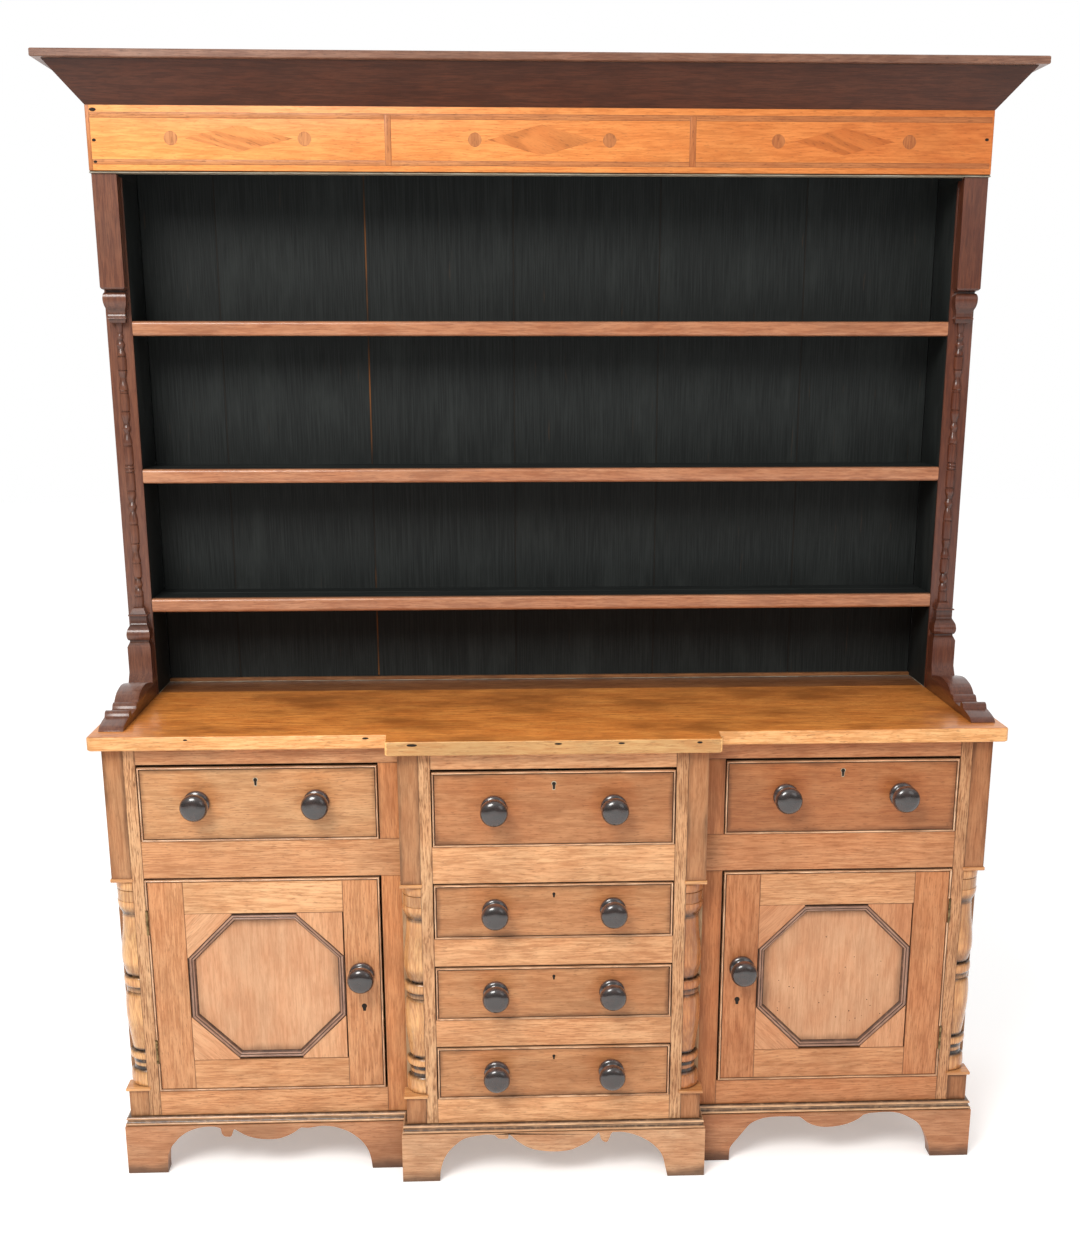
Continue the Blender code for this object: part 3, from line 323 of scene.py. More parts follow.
class Piece:
    """Gathers the boards of one piece into one mesh, each with its own grain and tone."""

    def __init__(self, name):
        self.name = name
        self.chance = random.Random(name)
        self.points, self.faces, self.slots, self.finishes = [], [], [], []
        self.wood, self.reach, self.board, self.grime = [], [], [], []
        self.knobs = []

    def add(self, body, finish, grain=X, face=Y, tone=0.0, spread=0.5, edges=(True, True),
            sides=None, knobs=None):
        """Add a body. grain runs along its fibres, and face is the way that it shows.

        tone lightens or darkens it, or a pair of tones its two ends, spread is how far
        boards differ, and edges tells whether dirt and painted shade gather at its long and at its
        short edges. sides gives the finish of a face that looks another way, from its middle.
        knobs gives their middle, height and half spacing.
        """
        across = face.cross(grain).normalized()
        depth = grain.cross(across).normalized()
        tones = tone if isinstance(tone, tuple) else (tone, tone)
        # the dirt and painted shade in the body's hollows
        dirt = body.verts.layers.float.get("grime")
        body.verts.index_update()
        first = len(self.points)
        spots = [Vector((v.co.dot(across), v.co.dot(depth), v.co.dot(grain))) for v in body.verts]
        low = Vector([min(spot[i] for spot in spots) for i in range(3)])
        high = Vector([max(spot[i] for spot in spots) for i in range(3)])
        middle, half = (low + high) / 2, (high - low) / 2
        seed = self.chance.random()
        tilt = self.chance.uniform(*GRAIN_TILTS)
        pith = self.chance.uniform(*PITH_DEPTHS)
        shade = spread * self.chance.uniform(*SHADES)
        reach = (half.x if edges[0] else FAR, pith, half.z if edges[1] else FAR)
        for vert, spot in zip(body.verts, spots):
            self.points.append(tuple(vert.co))
            self.wood.append(spot - middle)
            self.reach.append(reach)
            share = (spot.z - low.z) / (high.z - low.z)
            self.board.append((shade + tones[0] + share * (tones[1] - tones[0]), seed, tilt))
            self.grime.append(vert[dirt] if dirt else 0.0)
            if knobs:
                self.knobs.append((vert.co.x - knobs[0], vert.co.z - knobs[1], knobs[2]))
            else:
                self.knobs.append((FAR, FAR, 0.0))
        body.normal_update()
        for polygon in body.faces:
            aside = sides and abs(polygon.normal.dot(face)) < SIDEWAYS
            name = sides(polygon.calc_center_median()) if aside else finish
            if name not in self.finishes:
                self.finishes.append(name)
            self.faces.append([first + v.index for v in polygon.verts])
            self.slots.append(self.finishes.index(name))
        body.free()

    def add_lengths(self, lengths, finish, face=Y, **looks):
        for body, run in lengths:
            self.add(body, finish, run, face, **looks)

    def done(self, body="root", replaces=()):
        """Make the object, and tell the frame what it rides on and stands for."""
        mesh = bpy.data.meshes.new(self.name)
        mesh.from_pydata(self.points, [], self.faces)
        for finish in self.finishes:
            mesh.materials.append(FINISHES[finish](finish))
        mesh.polygons.foreach_set("material_index", self.slots)
        mesh.shade_smooth()
        mesh.set_sharp_from_angle(angle=SHADING_EDGE)
        for name, values in (("wood", self.wood), ("reach", self.reach), ("board", self.board),
                             ("knobs", self.knobs)):
            layer = mesh.attributes.new(name, "FLOAT_VECTOR", "POINT")
            layer.data.foreach_set("vector", [number for value in values for number in value])
        layer = mesh.attributes.new("grime", "FLOAT", "POINT")
        layer.data.foreach_set("value", self.grime)
        mesh.update()
        piece = bpy.data.objects.new(self.name, mesh)
        bpy.context.scene.collection.objects.link(piece)
        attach(piece, body)
        if replaces:
            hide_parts(*replaces)
        return piece


# Finishes

class Nodes:
    """Writes shader nodes in short calls."""

    def __init__(self, tree):
        self.nodes, self.links = tree.nodes, tree.links

    def put(self, socket, value):
        if isinstance(value, bpy.types.NodeSocket):
            self.links.new(value, socket)
        else:
            socket.default_value = value

    def add(self, kind, inputs, output=0, **settings):
        node = self.nodes.new("ShaderNode" + kind)
        for key, value in settings.items():
            setattr(node, key, value)
        for socket, value in inputs.items():
            self.put(node.inputs[socket], value)
        return node.outputs[output]

    def math(self, operation, first, second=0.0, clamp=False):
        return self.add("Math", {0: first, 1: second}, operation=operation, use_clamp=clamp)

    def plus(self, first, second):
        return self.math("ADD", first, second)

    def less(self, first, second):
        return self.math("SUBTRACT", first, second)

    def times(self, first, second):
        return self.math("MULTIPLY", first, second)

    def most(self, first, second):
        return self.math("MAXIMUM", first, second)

    def tinted(self, colour, tint):
        """A colour multiplied by another, red, green and blue each by its own."""
        return self.vector("MULTIPLY", colour, tint)

    def vector(self, operation, first, second):
        return self.add("VectorMath", {0: first, 1: second}, operation=operation)

    def attribute(self, name, output="Vector"):
        return self.add("Attribute", {}, output, attribute_name=name)

    def split(self, vector):
        node = self.nodes.new("ShaderNodeSeparateXYZ")
        self.put(node.inputs[0], vector)
        return node.outputs

    def join(self, x, y, z):
        return self.add("CombineXYZ", {0: x, 1: y, 2: z})

    def noise(self, vector, scale, detail=3.0, rough=0.5):
        """Noise about 0.5. A scale of three numbers stretches it."""
        if isinstance(scale, tuple):
            vector = self.vector("MULTIPLY", vector, scale)
            scale = 1.0
        return self.add("TexNoise", {"Vector": vector, "Scale": scale, "Detail": detail,
                                     "Roughness": rough}, "Fac")

    def step(self, value, low, high, start=0.0, end=1.0):
        """Carry a value smoothly from start to end between low and high."""
        return self.add("MapRange", {0: value, 1: low, 2: high, 3: start, 4: end},
                        interpolation_type="SMOOTHSTEP")

    def blend(self, share, first, second):
        node = self.nodes.new("ShaderNodeMix")
        node.data_type = "RGBA"
        for index, value in ((0, share), (6, first), (7, second)):
            self.put(node.inputs[index], value)
        return node.outputs[2]


class Finish(Nodes):
    """A material of a piece."""

    def __init__(self, name):
        self.material = bpy.data.materials.new(name)
        self.material.use_nodes = True
        super().__init__(self.material.node_tree)
        self.shader = self.nodes["Principled BSDF"]

    def wear(self, colour, roughness, height, relief, **levels):
        """Put in the colour, roughness and relief, and the plain levels of other sockets."""
        self.put(self.shader.inputs["Base Color"], colour)
        self.put(self.shader.inputs["Roughness"], roughness)
        bump = self.add("Bump", {"Strength": 1.0, "Distance": relief, "Height": height})
        self.put(self.shader.inputs["Normal"], bump)
        for socket, level in levels.items():
            self.shader.inputs[socket.replace("_", " ")].default_value = level
        return self.material


def once(make):
    """Keep the first material made under a name."""
    made = {}

    def give(name):
        if name not in made:
            made[name] = make(name)
        return made[name]
    return give


def rgba(colour):
    return (*colour, 1.0)


def dimmed(colour, share):
    return [share * value for value in colour]


# How often each pattern in wood repeats in a metre: across, into and along the board
TRUNK_BENDS, BOARD_BENDS = (11, 11, 3.0), (40, 40, 22)
STROKES, FIBRES, STREAKS, PORES = (230, 230, 62), (400, 400, 26), (130, 130, 13), (430, 430, 70)
CLOUDS, BLUSHES, PATCHES = (9, 9, 5.0), (26, 26, 11), (26, 26, 18)
HEART_SPAN = 0.12  # width in which the heart of the tree may lie
PORE_SHADE, STAIN_SHADE = 0.42, 0.6  # of the dark wood
PORE_DEPTH = 0.00025
RUDDY, PALE = (0.97, 0.90, 0.86), (1.03, 1.06, 1.09)
TONE_SHARES = (0.6, 1.0, 1.2)  # how far a tone moves red, green and blue
HALO_RED = (0.95, 0.66, 0.38)
# From where each kind of dirt, darkening or colour starts to where it is full, in metres
HALO_EDGES, SEAM_EDGES, FOOT_EDGES = (0.060, 0.024), (0.0014, 0.0004), (0.030, 0.001)


def timber(light, dark, deep, year=0.0035, figure=0.5, broken=0.0, streaks=0.6, pores=0.5,
           stain=0.3, edge=0.002, edge_dirt=0.35, seam=0.5, hollow_dirt=0.8, foot=0.0, rough=0.42,
           coat=0.05, gloss=0.25, tones=0.35, halo=0.0, whole=None):
    """A recipe for wood with years, fibres, pores, stains, and dirt and painted shade in edges and
    hollows.

    light and dark are the wood between and along the years, and deep is the colour of the dirt
    and painted shade. broken is how far short strokes break up the years, foot is how much darker
    the wood grows towards the floor, and halo is how red the wood is round the knobs. whole is for
    a node of the frame, which has no boards of its own: the direction of its grain.
    """
    @once
    def make(name):
        t = Finish(name)
        if whole:
            own = t.split(t.add("TexCoord", {}, "Object"))
            order = {"x": (1, 2, 0), "y": (2, 0, 1), "z": (0, 1, 2)}[whole]
            across, depth, along = (own[i] for i in order)
            wood = t.join(across, depth, along)
            seed, tilt, tone, pith, dirt, gap = 0.3, 0.02, 0.0, 0.05, 0.0, 1.0
        else:
            wood = t.attribute("wood")
            across, depth, along = t.split(wood)
            tone, seed, tilt = t.split(t.attribute("board"))
            half_across, pith, half_along = t.split(t.attribute("reach"))
            # dirt and painted shade in the hollows
            dirt = t.attribute("grime", "Fac")
            gap = t.math("MINIMUM", t.less(half_across, t.math("ABSOLUTE", across)),
                         t.less(half_along, t.math("ABSOLUTE", along)))
        shift = t.join(*(t.times(seed, number) for number in (17.0, 29.0, 43.0)))
        spot = t.vector("ADD", wood, shift)
        drift = t.less(t.noise(spot, TRUNK_BENDS, 2), 0.5)
        sway = t.less(t.noise(spot, BOARD_BENDS, 2), 0.5)
        aside = t.plus(across, t.times(t.less(seed, 0.5), HEART_SPAN))
        aside = t.plus(aside, t.times(drift, 0.050))
        aside = t.plus(aside, t.times(sway, 0.006))
        below = t.plus(t.plus(depth, pith), t.times(tilt, along))
        below = t.plus(below, t.times(drift, 0.035))
        radius = t.math("SQRT", t.plus(t.times(aside, aside), t.times(below, below)))
        phase = t.math("FRACT", t.math("DIVIDE", radius, year))
        ring = t.times(t.step(phase, 0.0, 0.25), t.step(phase, 1.0, 0.35))
        if broken:
            ring = t.times(ring, t.step(t.noise(spot, STROKES, 2), 0.38, 0.62, 1 - broken, 1.0))
        fibre = t.noise(spot, FIBRES, 4, 0.65)
        streak = t.noise(spot, STREAKS, 3, 0.65)
        dash = t.step(t.noise(spot, PORES, 2, 0.6), 0.56, 0.66)
        cloud = t.noise(spot, CLOUDS, 4, 0.6)
        blush = t.noise(spot, BLUSHES, 4, 0.6)

        grain = t.times(ring, figure)
        grain = t.plus(grain, t.times(t.step(streak, 0.36, 0.66), streaks))
        grain = t.plus(grain, t.times(t.step(fibre, 0.38, 0.64), streaks * 0.9))
        grain = t.math("DIVIDE", grain, figure + 1.9 * streaks, True)
        colour = t.blend(t.step(grain, 0.1, 0.85), rgba(light), rgba(dark))
        mark = t.times(dash, t.step(ring, 0.0, 0.9, 0.4 * pores, pores))
        colour = t.blend(mark, colour, rgba(dimmed(dark, PORE_SHADE)))
        colour = t.blend(t.step(cloud, 0.42, 0.70, 0.0, stain), colour,
                         rgba(dimmed(dark, STAIN_SHADE)))
        colour = t.tinted(colour, t.blend(t.step(blush, 0.32, 0.68), rgba(RUDDY), rgba(PALE)))
        tone = t.times(tone, tones)
        colour = t.tinted(colour, t.join(*(t.plus(1.0, t.times(tone, share))
                                           for share in TONE_SHARES)))
        if halo:
            aside, above, half = t.split(t.attribute("knobs"))
            aside = t.less(t.math("ABSOLUTE", aside), half)
            away = t.add("VectorMath", {0: t.join(aside, t.times(above, 0.8), 0.0)}, "Value",
                         operation="LENGTH")
            away = t.plus(away, t.times(t.less(blush, 0.5), 0.05))
            colour = t.tinted(colour, t.blend(t.step(away, *HALO_EDGES, 0.0, halo),
                                              rgba((1, 1, 1)), rgba(HALO_RED)))

        patch = t.noise(spot, PATCHES, 3)
        # dirt and painted shade: the wood darkens near a board's edges
        rim = t.plus(gap, t.times(t.less(patch, 0.5), edge))
        rim = t.times(t.step(rim, edge, 0.0, 0.0, edge_dirt), t.step(cloud, 0.42, 0.60, 0.35, 1.0))
        rim = t.most(rim, t.step(gap, *SEAM_EDGES, 0.0, seam))
        # the hollows are darkened with dirt and painted shade
        hollow = t.times(t.times(dirt, hollow_dirt),
                         t.step(t.noise(spot, 90.0, 2), 0.2, 0.6, 0.7, 1.0))
        grimed_and_shaded = t.most(rim, hollow)
        # darker towards the floor
        if foot:
            height = t.split(t.add("TexCoord", {}, "Object"))[2]
            height = t.plus(height, t.times(t.less(patch, 0.5), 0.03))
            grimed_and_shaded = t.most(grimed_and_shaded, t.step(height, *FOOT_EDGES, 0.0, foot))
        colour = t.blend(grimed_and_shaded, colour, rgba(deep))

        shine = t.plus(t.plus(rough - 0.06, t.times(cloud, 0.12)), t.times(mark, 0.2))
        height = t.less(t.times(fibre, 0.5), mark)
        return t.wear(colour, shine, height, PORE_DEPTH, Specular_IOR_Level=0.25,
                      Coat_Weight=coat, Coat_Roughness=gloss)
    return make


@once
def black_paint(name):
    """Old thin black paint on boards: brushed, dusty and rubbed brown at the joints."""
    t = Finish(name)
    wood = t.attribute("wood")
    _, seed, _ = t.split(t.attribute("board"))
    spot = t.vector("ADD", wood, t.join(t.times(seed, 13.0), seed,
                                        t.times(seed, 31.0)))
    brush = t.noise(spot, (420, 420, 9), 3, 0.6)
    dust = t.noise(spot, (14, 14, 5), 4, 0.6)
    rubbed = t.step(t.noise(spot, (160, 160, 9), 3), 0.70, 0.78)
    colour = t.blend(t.step(brush, 0.35, 0.7), rgba((0.010, 0.0115, 0.0110)),
                     rgba((0.019, 0.0215, 0.0205)))
    colour = t.blend(t.step(dust, 0.45, 0.8, 0.0, 0.5), colour, rgba((0.032, 0.036, 0.034)))
    colour = t.blend(t.times(rubbed, 0.25), colour, rgba((0.09, 0.045, 0.02)))
    rough = t.plus(0.50, t.times(dust, 0.22))
    return t.wear(colour, rough, brush, 0.0003, Specular_IOR_Level=0.15)


@once
def worn_joint(name):
    """The groove between two painted boards, where the brown wood shows in places."""
    t = Finish(name)
    wood = t.attribute("wood")
    tone, seed, _ = t.split(t.attribute("board"))
    spot = t.vector("ADD", wood, t.join(0.0, 0.0, t.times(seed, 31.0)))
    patch = t.noise(spot, (3, 3, 3.2), 3, 0.6)
    share = t.step(t.plus(patch, t.times(tone, 0.5)), 0.42, 0.62)
    colour = t.blend(share, rgba((0.014, 0.012, 0.010)), rgba((0.16, 0.060, 0.016)))
    return t.wear(colour, 0.6, patch, 0.0002, Specular_IOR_Level=0.15)


@once
def knob_polish(name):
    """Dark turned wood under a glossy, handled polish."""
    t = Finish(name)
    wood = t.attribute("wood")
    _, seed, _ = t.split(t.attribute("board"))
    dirt = t.attribute("grime", "Fac")
    spot = t.vector("ADD", wood, t.join(seed, t.times(seed, 7.0), seed))
    fibre = t.noise(spot, (260, 60, 60), 3)
    patch = t.noise(spot, 45.0, 3)
    colour = t.blend(t.step(fibre, 0.4, 0.7), rgba((0.045, 0.028, 0.024)),
                     rgba((0.11, 0.051, 0.040)))
    colour = t.blend(t.step(patch, 0.50, 0.75, 0.0, 0.6), colour, rgba((0.13, 0.045, 0.028)))
    # dirt and painted shade in the knob's hollows
    colour = t.blend(t.times(dirt, 0.8), colour, rgba((0.008, 0.006, 0.005)))
    rough = t.plus(0.16, t.times(patch, 0.20))
    return t.wear(colour, rough, fibre, 0.0001, Coat_Weight=0.9, Coat_Roughness=0.09)


def brass(dull, bright):
    """A recipe for old brass, rubbed bright where it is touched."""
    @once
    def make(name):
        t = Finish(name)
        patch = t.noise(t.add("TexCoord", {}, "Object"), 140.0, 4)
        colour = t.blend(t.step(patch, 0.35, 0.65), rgba(dull), rgba(bright))
        return t.wear(colour, t.step(patch, 0.3, 0.7, 0.55, 0.38), patch, 0.0001, Metallic=1.0)
    return make


@once
def dark_iron(name):
    """Nail heads and pegs, and the painted shade inside worm holes and keyholes."""
    t = Finish(name)
    spot = t.add("TexCoord", {}, "Object")
    patch = t.noise(spot, 600.0, 3)
    colour = t.blend(patch, rgba((0.006, 0.005, 0.004)), rgba((0.028, 0.018, 0.012)))
    return t.wear(colour, 0.7, patch, 0.0001, Specular_IOR_Level=0.2)


@once
def pale_floor(name):
    """Plain white studio paper."""
    t = Finish(name)
    spot = t.add("TexCoord", {}, "Object")
    patch = t.noise(spot, 0.8, 2)
    colour = t.blend(patch, rgba((0.90, 0.90, 0.90)), rgba((0.94, 0.94, 0.935)))
    return t.wear(colour, 0.9, patch, 0.0001, Emission_Color=rgba((1, 1, 1)),
                  Emission_Strength=PAPER_GLOW)


PAPER_GLOW = 0.28  # light that the white paper adds to the shadows
OAK_LIGHT = (0.67, 0.352, 0.168)
OAK_DARK = (0.46, 0.208, 0.087)
# colour of the dirt and painted shade at the edges and in the hollows of oak
OAK_DIRT_AND_SHADE = (0.055, 0.022, 0.010)
RAW_WOOD = ((0.46, 0.290, 0.160), (0.33, 0.190, 0.095), (0.10, 0.055, 0.03))
RAW_LOOK = dict(figure=0.6, streaks=0.8, stain=0.4, rough=0.7, coat=0.0)
NO_EDGES = dict(seam=0.0, edge_dirt=0.0)  # for mouldings, whose dirt and painted shade lie in their hollows
QUIET = dict(figure=0.15, streaks=0.5, pores=0.3)  # for wood whose grain hardly shows

FINISHES = {
    "oak": timber(OAK_LIGHT, OAK_DARK, OAK_DIRT_AND_SHADE, year=0.0045, figure=0.30, broken=0.6,
                  streaks=0.55, pores=0.45),
    "warm_oak": timber((0.60, 0.262, 0.104), (0.44, 0.168, 0.060), OAK_DIRT_AND_SHADE, **QUIET,
                       edge=0.006),
    "block_oak": timber((0.45, 0.218, 0.098), (0.33, 0.145, 0.060), OAK_DIRT_AND_SHADE, figure=0.1,
                        streaks=0.4, pores=0.3, edge=0.010, edge_dirt=0.6),
    "bold_oak": timber((0.64, 0.365, 0.185), (0.30, 0.138, 0.058), OAK_DIRT_AND_SHADE, year=0.0042,
                       figure=0.8, broken=0.8, pores=0.6),
    "drawer_oak": timber((0.57, 0.300, 0.138), (0.43, 0.205, 0.086), OAK_DIRT_AND_SHADE, figure=0.1,
                         streaks=0.55, pores=0.45, edge=0.010, edge_dirt=0.55, seam=0.8,
                         halo=0.35),
    # pale cockbeads: worn, and painted lighter as a highlight where the light catches them
    "bead_oak": timber((0.78, 0.49, 0.29), (0.42, 0.205, 0.095), OAK_DIRT_AND_SHADE, **NO_EDGES,
                       stain=0.6, tones=0.2, rough=0.28, coat=0.8, gloss=0.18),
    # dark strips in grooves and gaps: dirt and painted shade
    "groove_dirt": timber((0.10, 0.045, 0.022), (0.045, 0.020, 0.010), (0.02, 0.01, 0.006),
                          **NO_EDGES, rough=0.7, coat=0.0),
    "panel_oak": timber((0.60, 0.318, 0.170), (0.50, 0.248, 0.125), OAK_DIRT_AND_SHADE, figure=0.05,
                        streaks=0.45, pores=0.15, edge=0.018, edge_dirt=0.45, stain=0.25),
    "corner_oak": timber((0.66, 0.350, 0.180), (0.53, 0.258, 0.124), OAK_DIRT_AND_SHADE, figure=0.08,
                         streaks=0.45, pores=0.3, stain=0.2),
    "dark_moulding": timber((0.42, 0.240, 0.160), (0.27, 0.145, 0.095), (0.03, 0.015, 0.01),
                            **NO_EDGES, hollow_dirt=0.85, rough=0.34, coat=0.4, gloss=0.2,
                            tones=0.1),
    "column_oak": timber((0.70, 0.365, 0.145), (0.48, 0.215, 0.078), (0.018, 0.010, 0.006),
                         **NO_EDGES, figure=0.25, streaks=0.5, pores=0.3, hollow_dirt=1.0,
                         rough=0.26, coat=0.55, gloss=0.14),
    "worktop_oak": timber((0.78, 0.295, 0.064), (0.53, 0.172, 0.033), (0.10, 0.036, 0.010),
                          year=0.008, figure=0.15, streaks=0.3, pores=0.6, stain=0.95,
                          edge=0.010, rough=0.30, coat=0.3, gloss=0.2),
    "worktop_edge": timber((0.82, 0.44, 0.185), (0.60, 0.275, 0.095), (0.12, 0.05, 0.02),
                           figure=0.1, streaks=0.4, stain=0.4, rough=0.36),
    # a brighter copy of worktop_edge for the centre's front edge: painted light
    "worktop_front": timber((1.0, 0.61, 0.25), (0.80, 0.41, 0.15), (0.12, 0.05, 0.02),
                            figure=0.1, streaks=0.4, stain=0.4, rough=0.36),
    "shaded_oak": timber((0.26, 0.103, 0.037), (0.145, 0.051, 0.018), (0.03, 0.014, 0.008),
                         figure=0.3, stain=0.4, rough=0.4, coat=0.3),
    "frieze_oak": timber((0.84, 0.345, 0.096), (0.67, 0.250, 0.062), (0.22, 0.08, 0.03),
                         year=0.005, figure=0.15, streaks=0.45, pores=0.35, stain=0.25),
    "inlay_band": timber((0.56, 0.235, 0.082), (0.42, 0.160, 0.052), (0.16, 0.06, 0.025),
                         stain=0.2),
    "inlay_wood": timber((0.72, 0.280, 0.075), (0.55, 0.205, 0.052), (0.20, 0.07, 0.03),
                         year=0.012, figure=1.2, streaks=0.4, stain=0.1),
    # pale grey standing in for light on dark beads and arrises: a painted highlight
    "pale_bead": timber((0.40, 0.37, 0.29), (0.23, 0.19, 0.13), OAK_DIRT_AND_SHADE, **NO_EDGES,
                        rough=0.4),
    "rack_oak": timber((0.168, 0.064, 0.034), (0.106, 0.037, 0.021), (0.015, 0.008, 0.006),
                       **QUIET, rough=0.34, coat=0.5, gloss=0.16),
    "shelf_oak": timber((0.46, 0.208, 0.106), (0.32, 0.128, 0.062), (0.05, 0.02, 0.012),
                        **QUIET, rough=0.32, coat=0.35, gloss=0.16),
    "cornice_oak": timber((0.084, 0.026, 0.012), (0.052, 0.016, 0.008), (0.012, 0.006, 0.004),
                          **QUIET, stain=0.5, coat=0.1),
    "slab_oak": timber((0.24, 0.120, 0.075), (0.15, 0.066, 0.040), (0.03, 0.015, 0.010),
                       figure=0.2, stain=0.5, rough=0.36, coat=0.3),
    "plinth_oak": timber((0.55, 0.295, 0.155), (0.41, 0.195, 0.094), (0.045, 0.025, 0.018),
                         figure=0.1, streaks=0.5, pores=0.4, stain=0.5, foot=0.75, edge=0.006,
                         edge_dirt=0.5),
    # paler than the plinth's oak: a painted highlight on the band's beads
    "band_oak": timber((0.74, 0.45, 0.245), (0.50, 0.265, 0.125), (0.04, 0.018, 0.009),
                       **NO_EDGES, figure=0.1, streaks=0.5, pores=0.3, stain=0.4,
                       hollow_dirt=0.95, rough=0.3, coat=0.6, gloss=0.18),
    "raw_oak": timber(*RAW_WOOD, **RAW_LOOK),
    "raw_along": timber(*RAW_WOOD, whole="x", **RAW_LOOK),
    "raw_upright": timber(*RAW_WOOD, whole="z", **RAW_LOOK),
    "black_paint": black_paint,
    "worn_joint": worn_joint,
    "knob_polish": knob_polish,
    "aged_brass": brass((0.10, 0.065, 0.030), (0.26, 0.18, 0.085)),
    "worn_brass": brass((0.30, 0.24, 0.16), (0.52, 0.45, 0.33)),
    "dark_iron": dark_iron,
    "pale_floor": pale_floor,
}


def refinish(node, finish):
    """Give a node of the frame, whose shape is right, its finish."""
    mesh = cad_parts[node].data
    mesh.materials.clear()
    mesh.materials.append(FINISHES[finish](finish))


# Sizes and colours that a user may change

class DresserSizes(bpy.types.PropertyGroup):
    arris: bpy.props.FloatProperty(
        name="Arris", description="How much is taken off the edges of the boards",
        default=0.0007, min=0.0001, max=0.004, unit="LENGTH")
    worktop_round: bpy.props.FloatProperty(
        name="Worktop rounding", description="Radius of the worktop's upper edge",
        default=0.0034, min=0.001, max=0.010, unit="LENGTH")
    turning_steps: bpy.props.IntProperty(
        name="Turning steps", description="Faces round each quarter column",
        default=20, min=8, max=48)
    camera_distance: bpy.props.FloatProperty(
        name="Camera distance", description="From the middle of the dresser to the camera",
        default=3.0569, min=1.0, max=10.0, unit="LENGTH")


class DresserColours(bpy.types.PropertyGroup):
    backdrop: bpy.props.FloatVectorProperty(
        name="Backdrop", description="Colour of the light all round", subtype="COLOR",
        default=(1.0, 1.0, 1.0), min=0.0, max=1.0)
    key: bpy.props.FloatVectorProperty(
        name="Key light", description="Colour of the large light in front", subtype="COLOR",
        default=(1.0, 0.985, 0.96), min=0.0, max=1.0)


def sizes():
    return bpy.context.scene.dresser_sizes


# Base

WORKTOP_BACK = 0.100  # how far the darker board reaches in front of the rack's back
OUTER_ROUND, INNER_ROUND = 0.009, 0.007  # the worktop's corners in plan
PEG_DROP = 0.0065  # from the worktop's top to the middle of a peg
PEG_LENGTH = 0.004


def rounded_corner(point, toward, away, radius):
    """The points of an arc that rounds a corner between two neighbours."""
    steps = 5
    point, toward, away = Vector(point), Vector(toward), Vector(away)
    start = point + (toward - point).normalized() * radius
    end = point + (away - point).normalized() * radius
    centre = start + end - point
    points = []
    for i in range(steps + 1):
        turn = math.pi / 2 * i / steps
        points.append(tuple(centre + (start - centre) * math.cos(turn)
                            + (end - centre) * math.sin(turn)))
    return points


def build_worktop():
    """The worktop: a wide board with pegs in its front edge, and a darker board at the back."""
    round_over = sizes().worktop_round
    near = 0.0012  # places nearer than this count as the same
    fade = 0.02  # points further in than this aren't drawn in
    step_x = CENTRE_X + TOP.x1 - BASE_X
    side_front = TOP.y0 + SIDE_Y - FRONT_Y
    back = BACKING.y0 - WORKTOP_BACK
    outline = [(TOP.x0, side_front), (-step_x, side_front), (-step_x, TOP.y0), (step_x, TOP.y0),
               (step_x, side_front), (TOP.x1, side_front), (TOP.x1, back), (TOP.x0, back)]
    corner_radius = {0: OUTER_ROUND, 2: INNER_ROUND, 3: INNER_ROUND, 5: OUTER_ROUND}
    plan = []
    for i, point in enumerate(outline):
        if i in corner_radius:
            plan += rounded_corner(point, outline[i - 1], outline[(i + 1) % 8], corner_radius[i])
        else:
            plan.append(point)
    rings = [(round_over * 0.5, TOP.z0), (0.0, TOP.z0 + round_over * 0.5)]
    for i in range(6):
        turn = math.pi / 2 * i / 5
        rings.append((round_over * (1 - math.cos(turn)),
                      TOP.z1 - round_over * (1 - math.sin(turn))))

    def drawn_in(inset):
        """The plan with its front and ends drawn in. The back stays."""
        points = []
        for x, y in plan:
            if abs(x) < step_x + near and y < side_front - near:
                wide, low = step_x, TOP.y0
            else:
                wide, low = TOP.x1, side_front
            new_y = y if y > back - near else y + inset * max(0.0, 1 - (y - low) / fade)
            new_x = x - math.copysign(inset, x) * max(0.0, 1 - (wide - abs(x)) / fade)
            points.append((new_x, new_y))
        return points

    worktop = Piece("worktop_boards")
    body = loft([[(x, y, z) for x, y in drawn_in(inset)] for inset, z in rings])
    # the centre's front edge gets the brighter copy of the edge's finish: painted light
    worktop.add(body, "worktop_oak", X, Z, spread=0, edges=(True, False),
                sides=lambda middle: "worktop_front" if middle.y < side_front - near else
                "worktop_edge")
    worktop.add(board(TOP.x0, TOP.x1, back + GAP, BACK_Y, TOP.z0, TOP.z1 - GAP), "shaded_oak",
                X, Z, spread=0)
    for x, edge, width, height in PEGS:
        front = (TOP.y0 if edge == "centre" else side_front) - GAP
        shape = disc(x, TOP.z1 - PEG_DROP, width / 2, height / 2)
        worktop.add(cut_out(shape, 1, front, front + PEG_LENGTH), "dark_iron")
    worktop.done(replaces=["worktop"])


# Dark pegs in the worktop's front edge: place along it, which edge, width and height.
PEGS = ((-0.260, "centre", 0.019, 0.0050), (0.007, "centre", 0.014, 0.0036),
        (0.123, "centre", 0.012, 0.0034), (0.267, "centre", 0.010, 0.0040),
        (-0.348, "side", 0.012, 0.0036), (-0.679, "side", 0.008, 0.0032))


# How much darker the right side of the dresser is painted than the left: painted shade of the
# light that falls from the left.
PAINTED_SIDE_SHADE = {-1: 0.0, 1: -0.65}


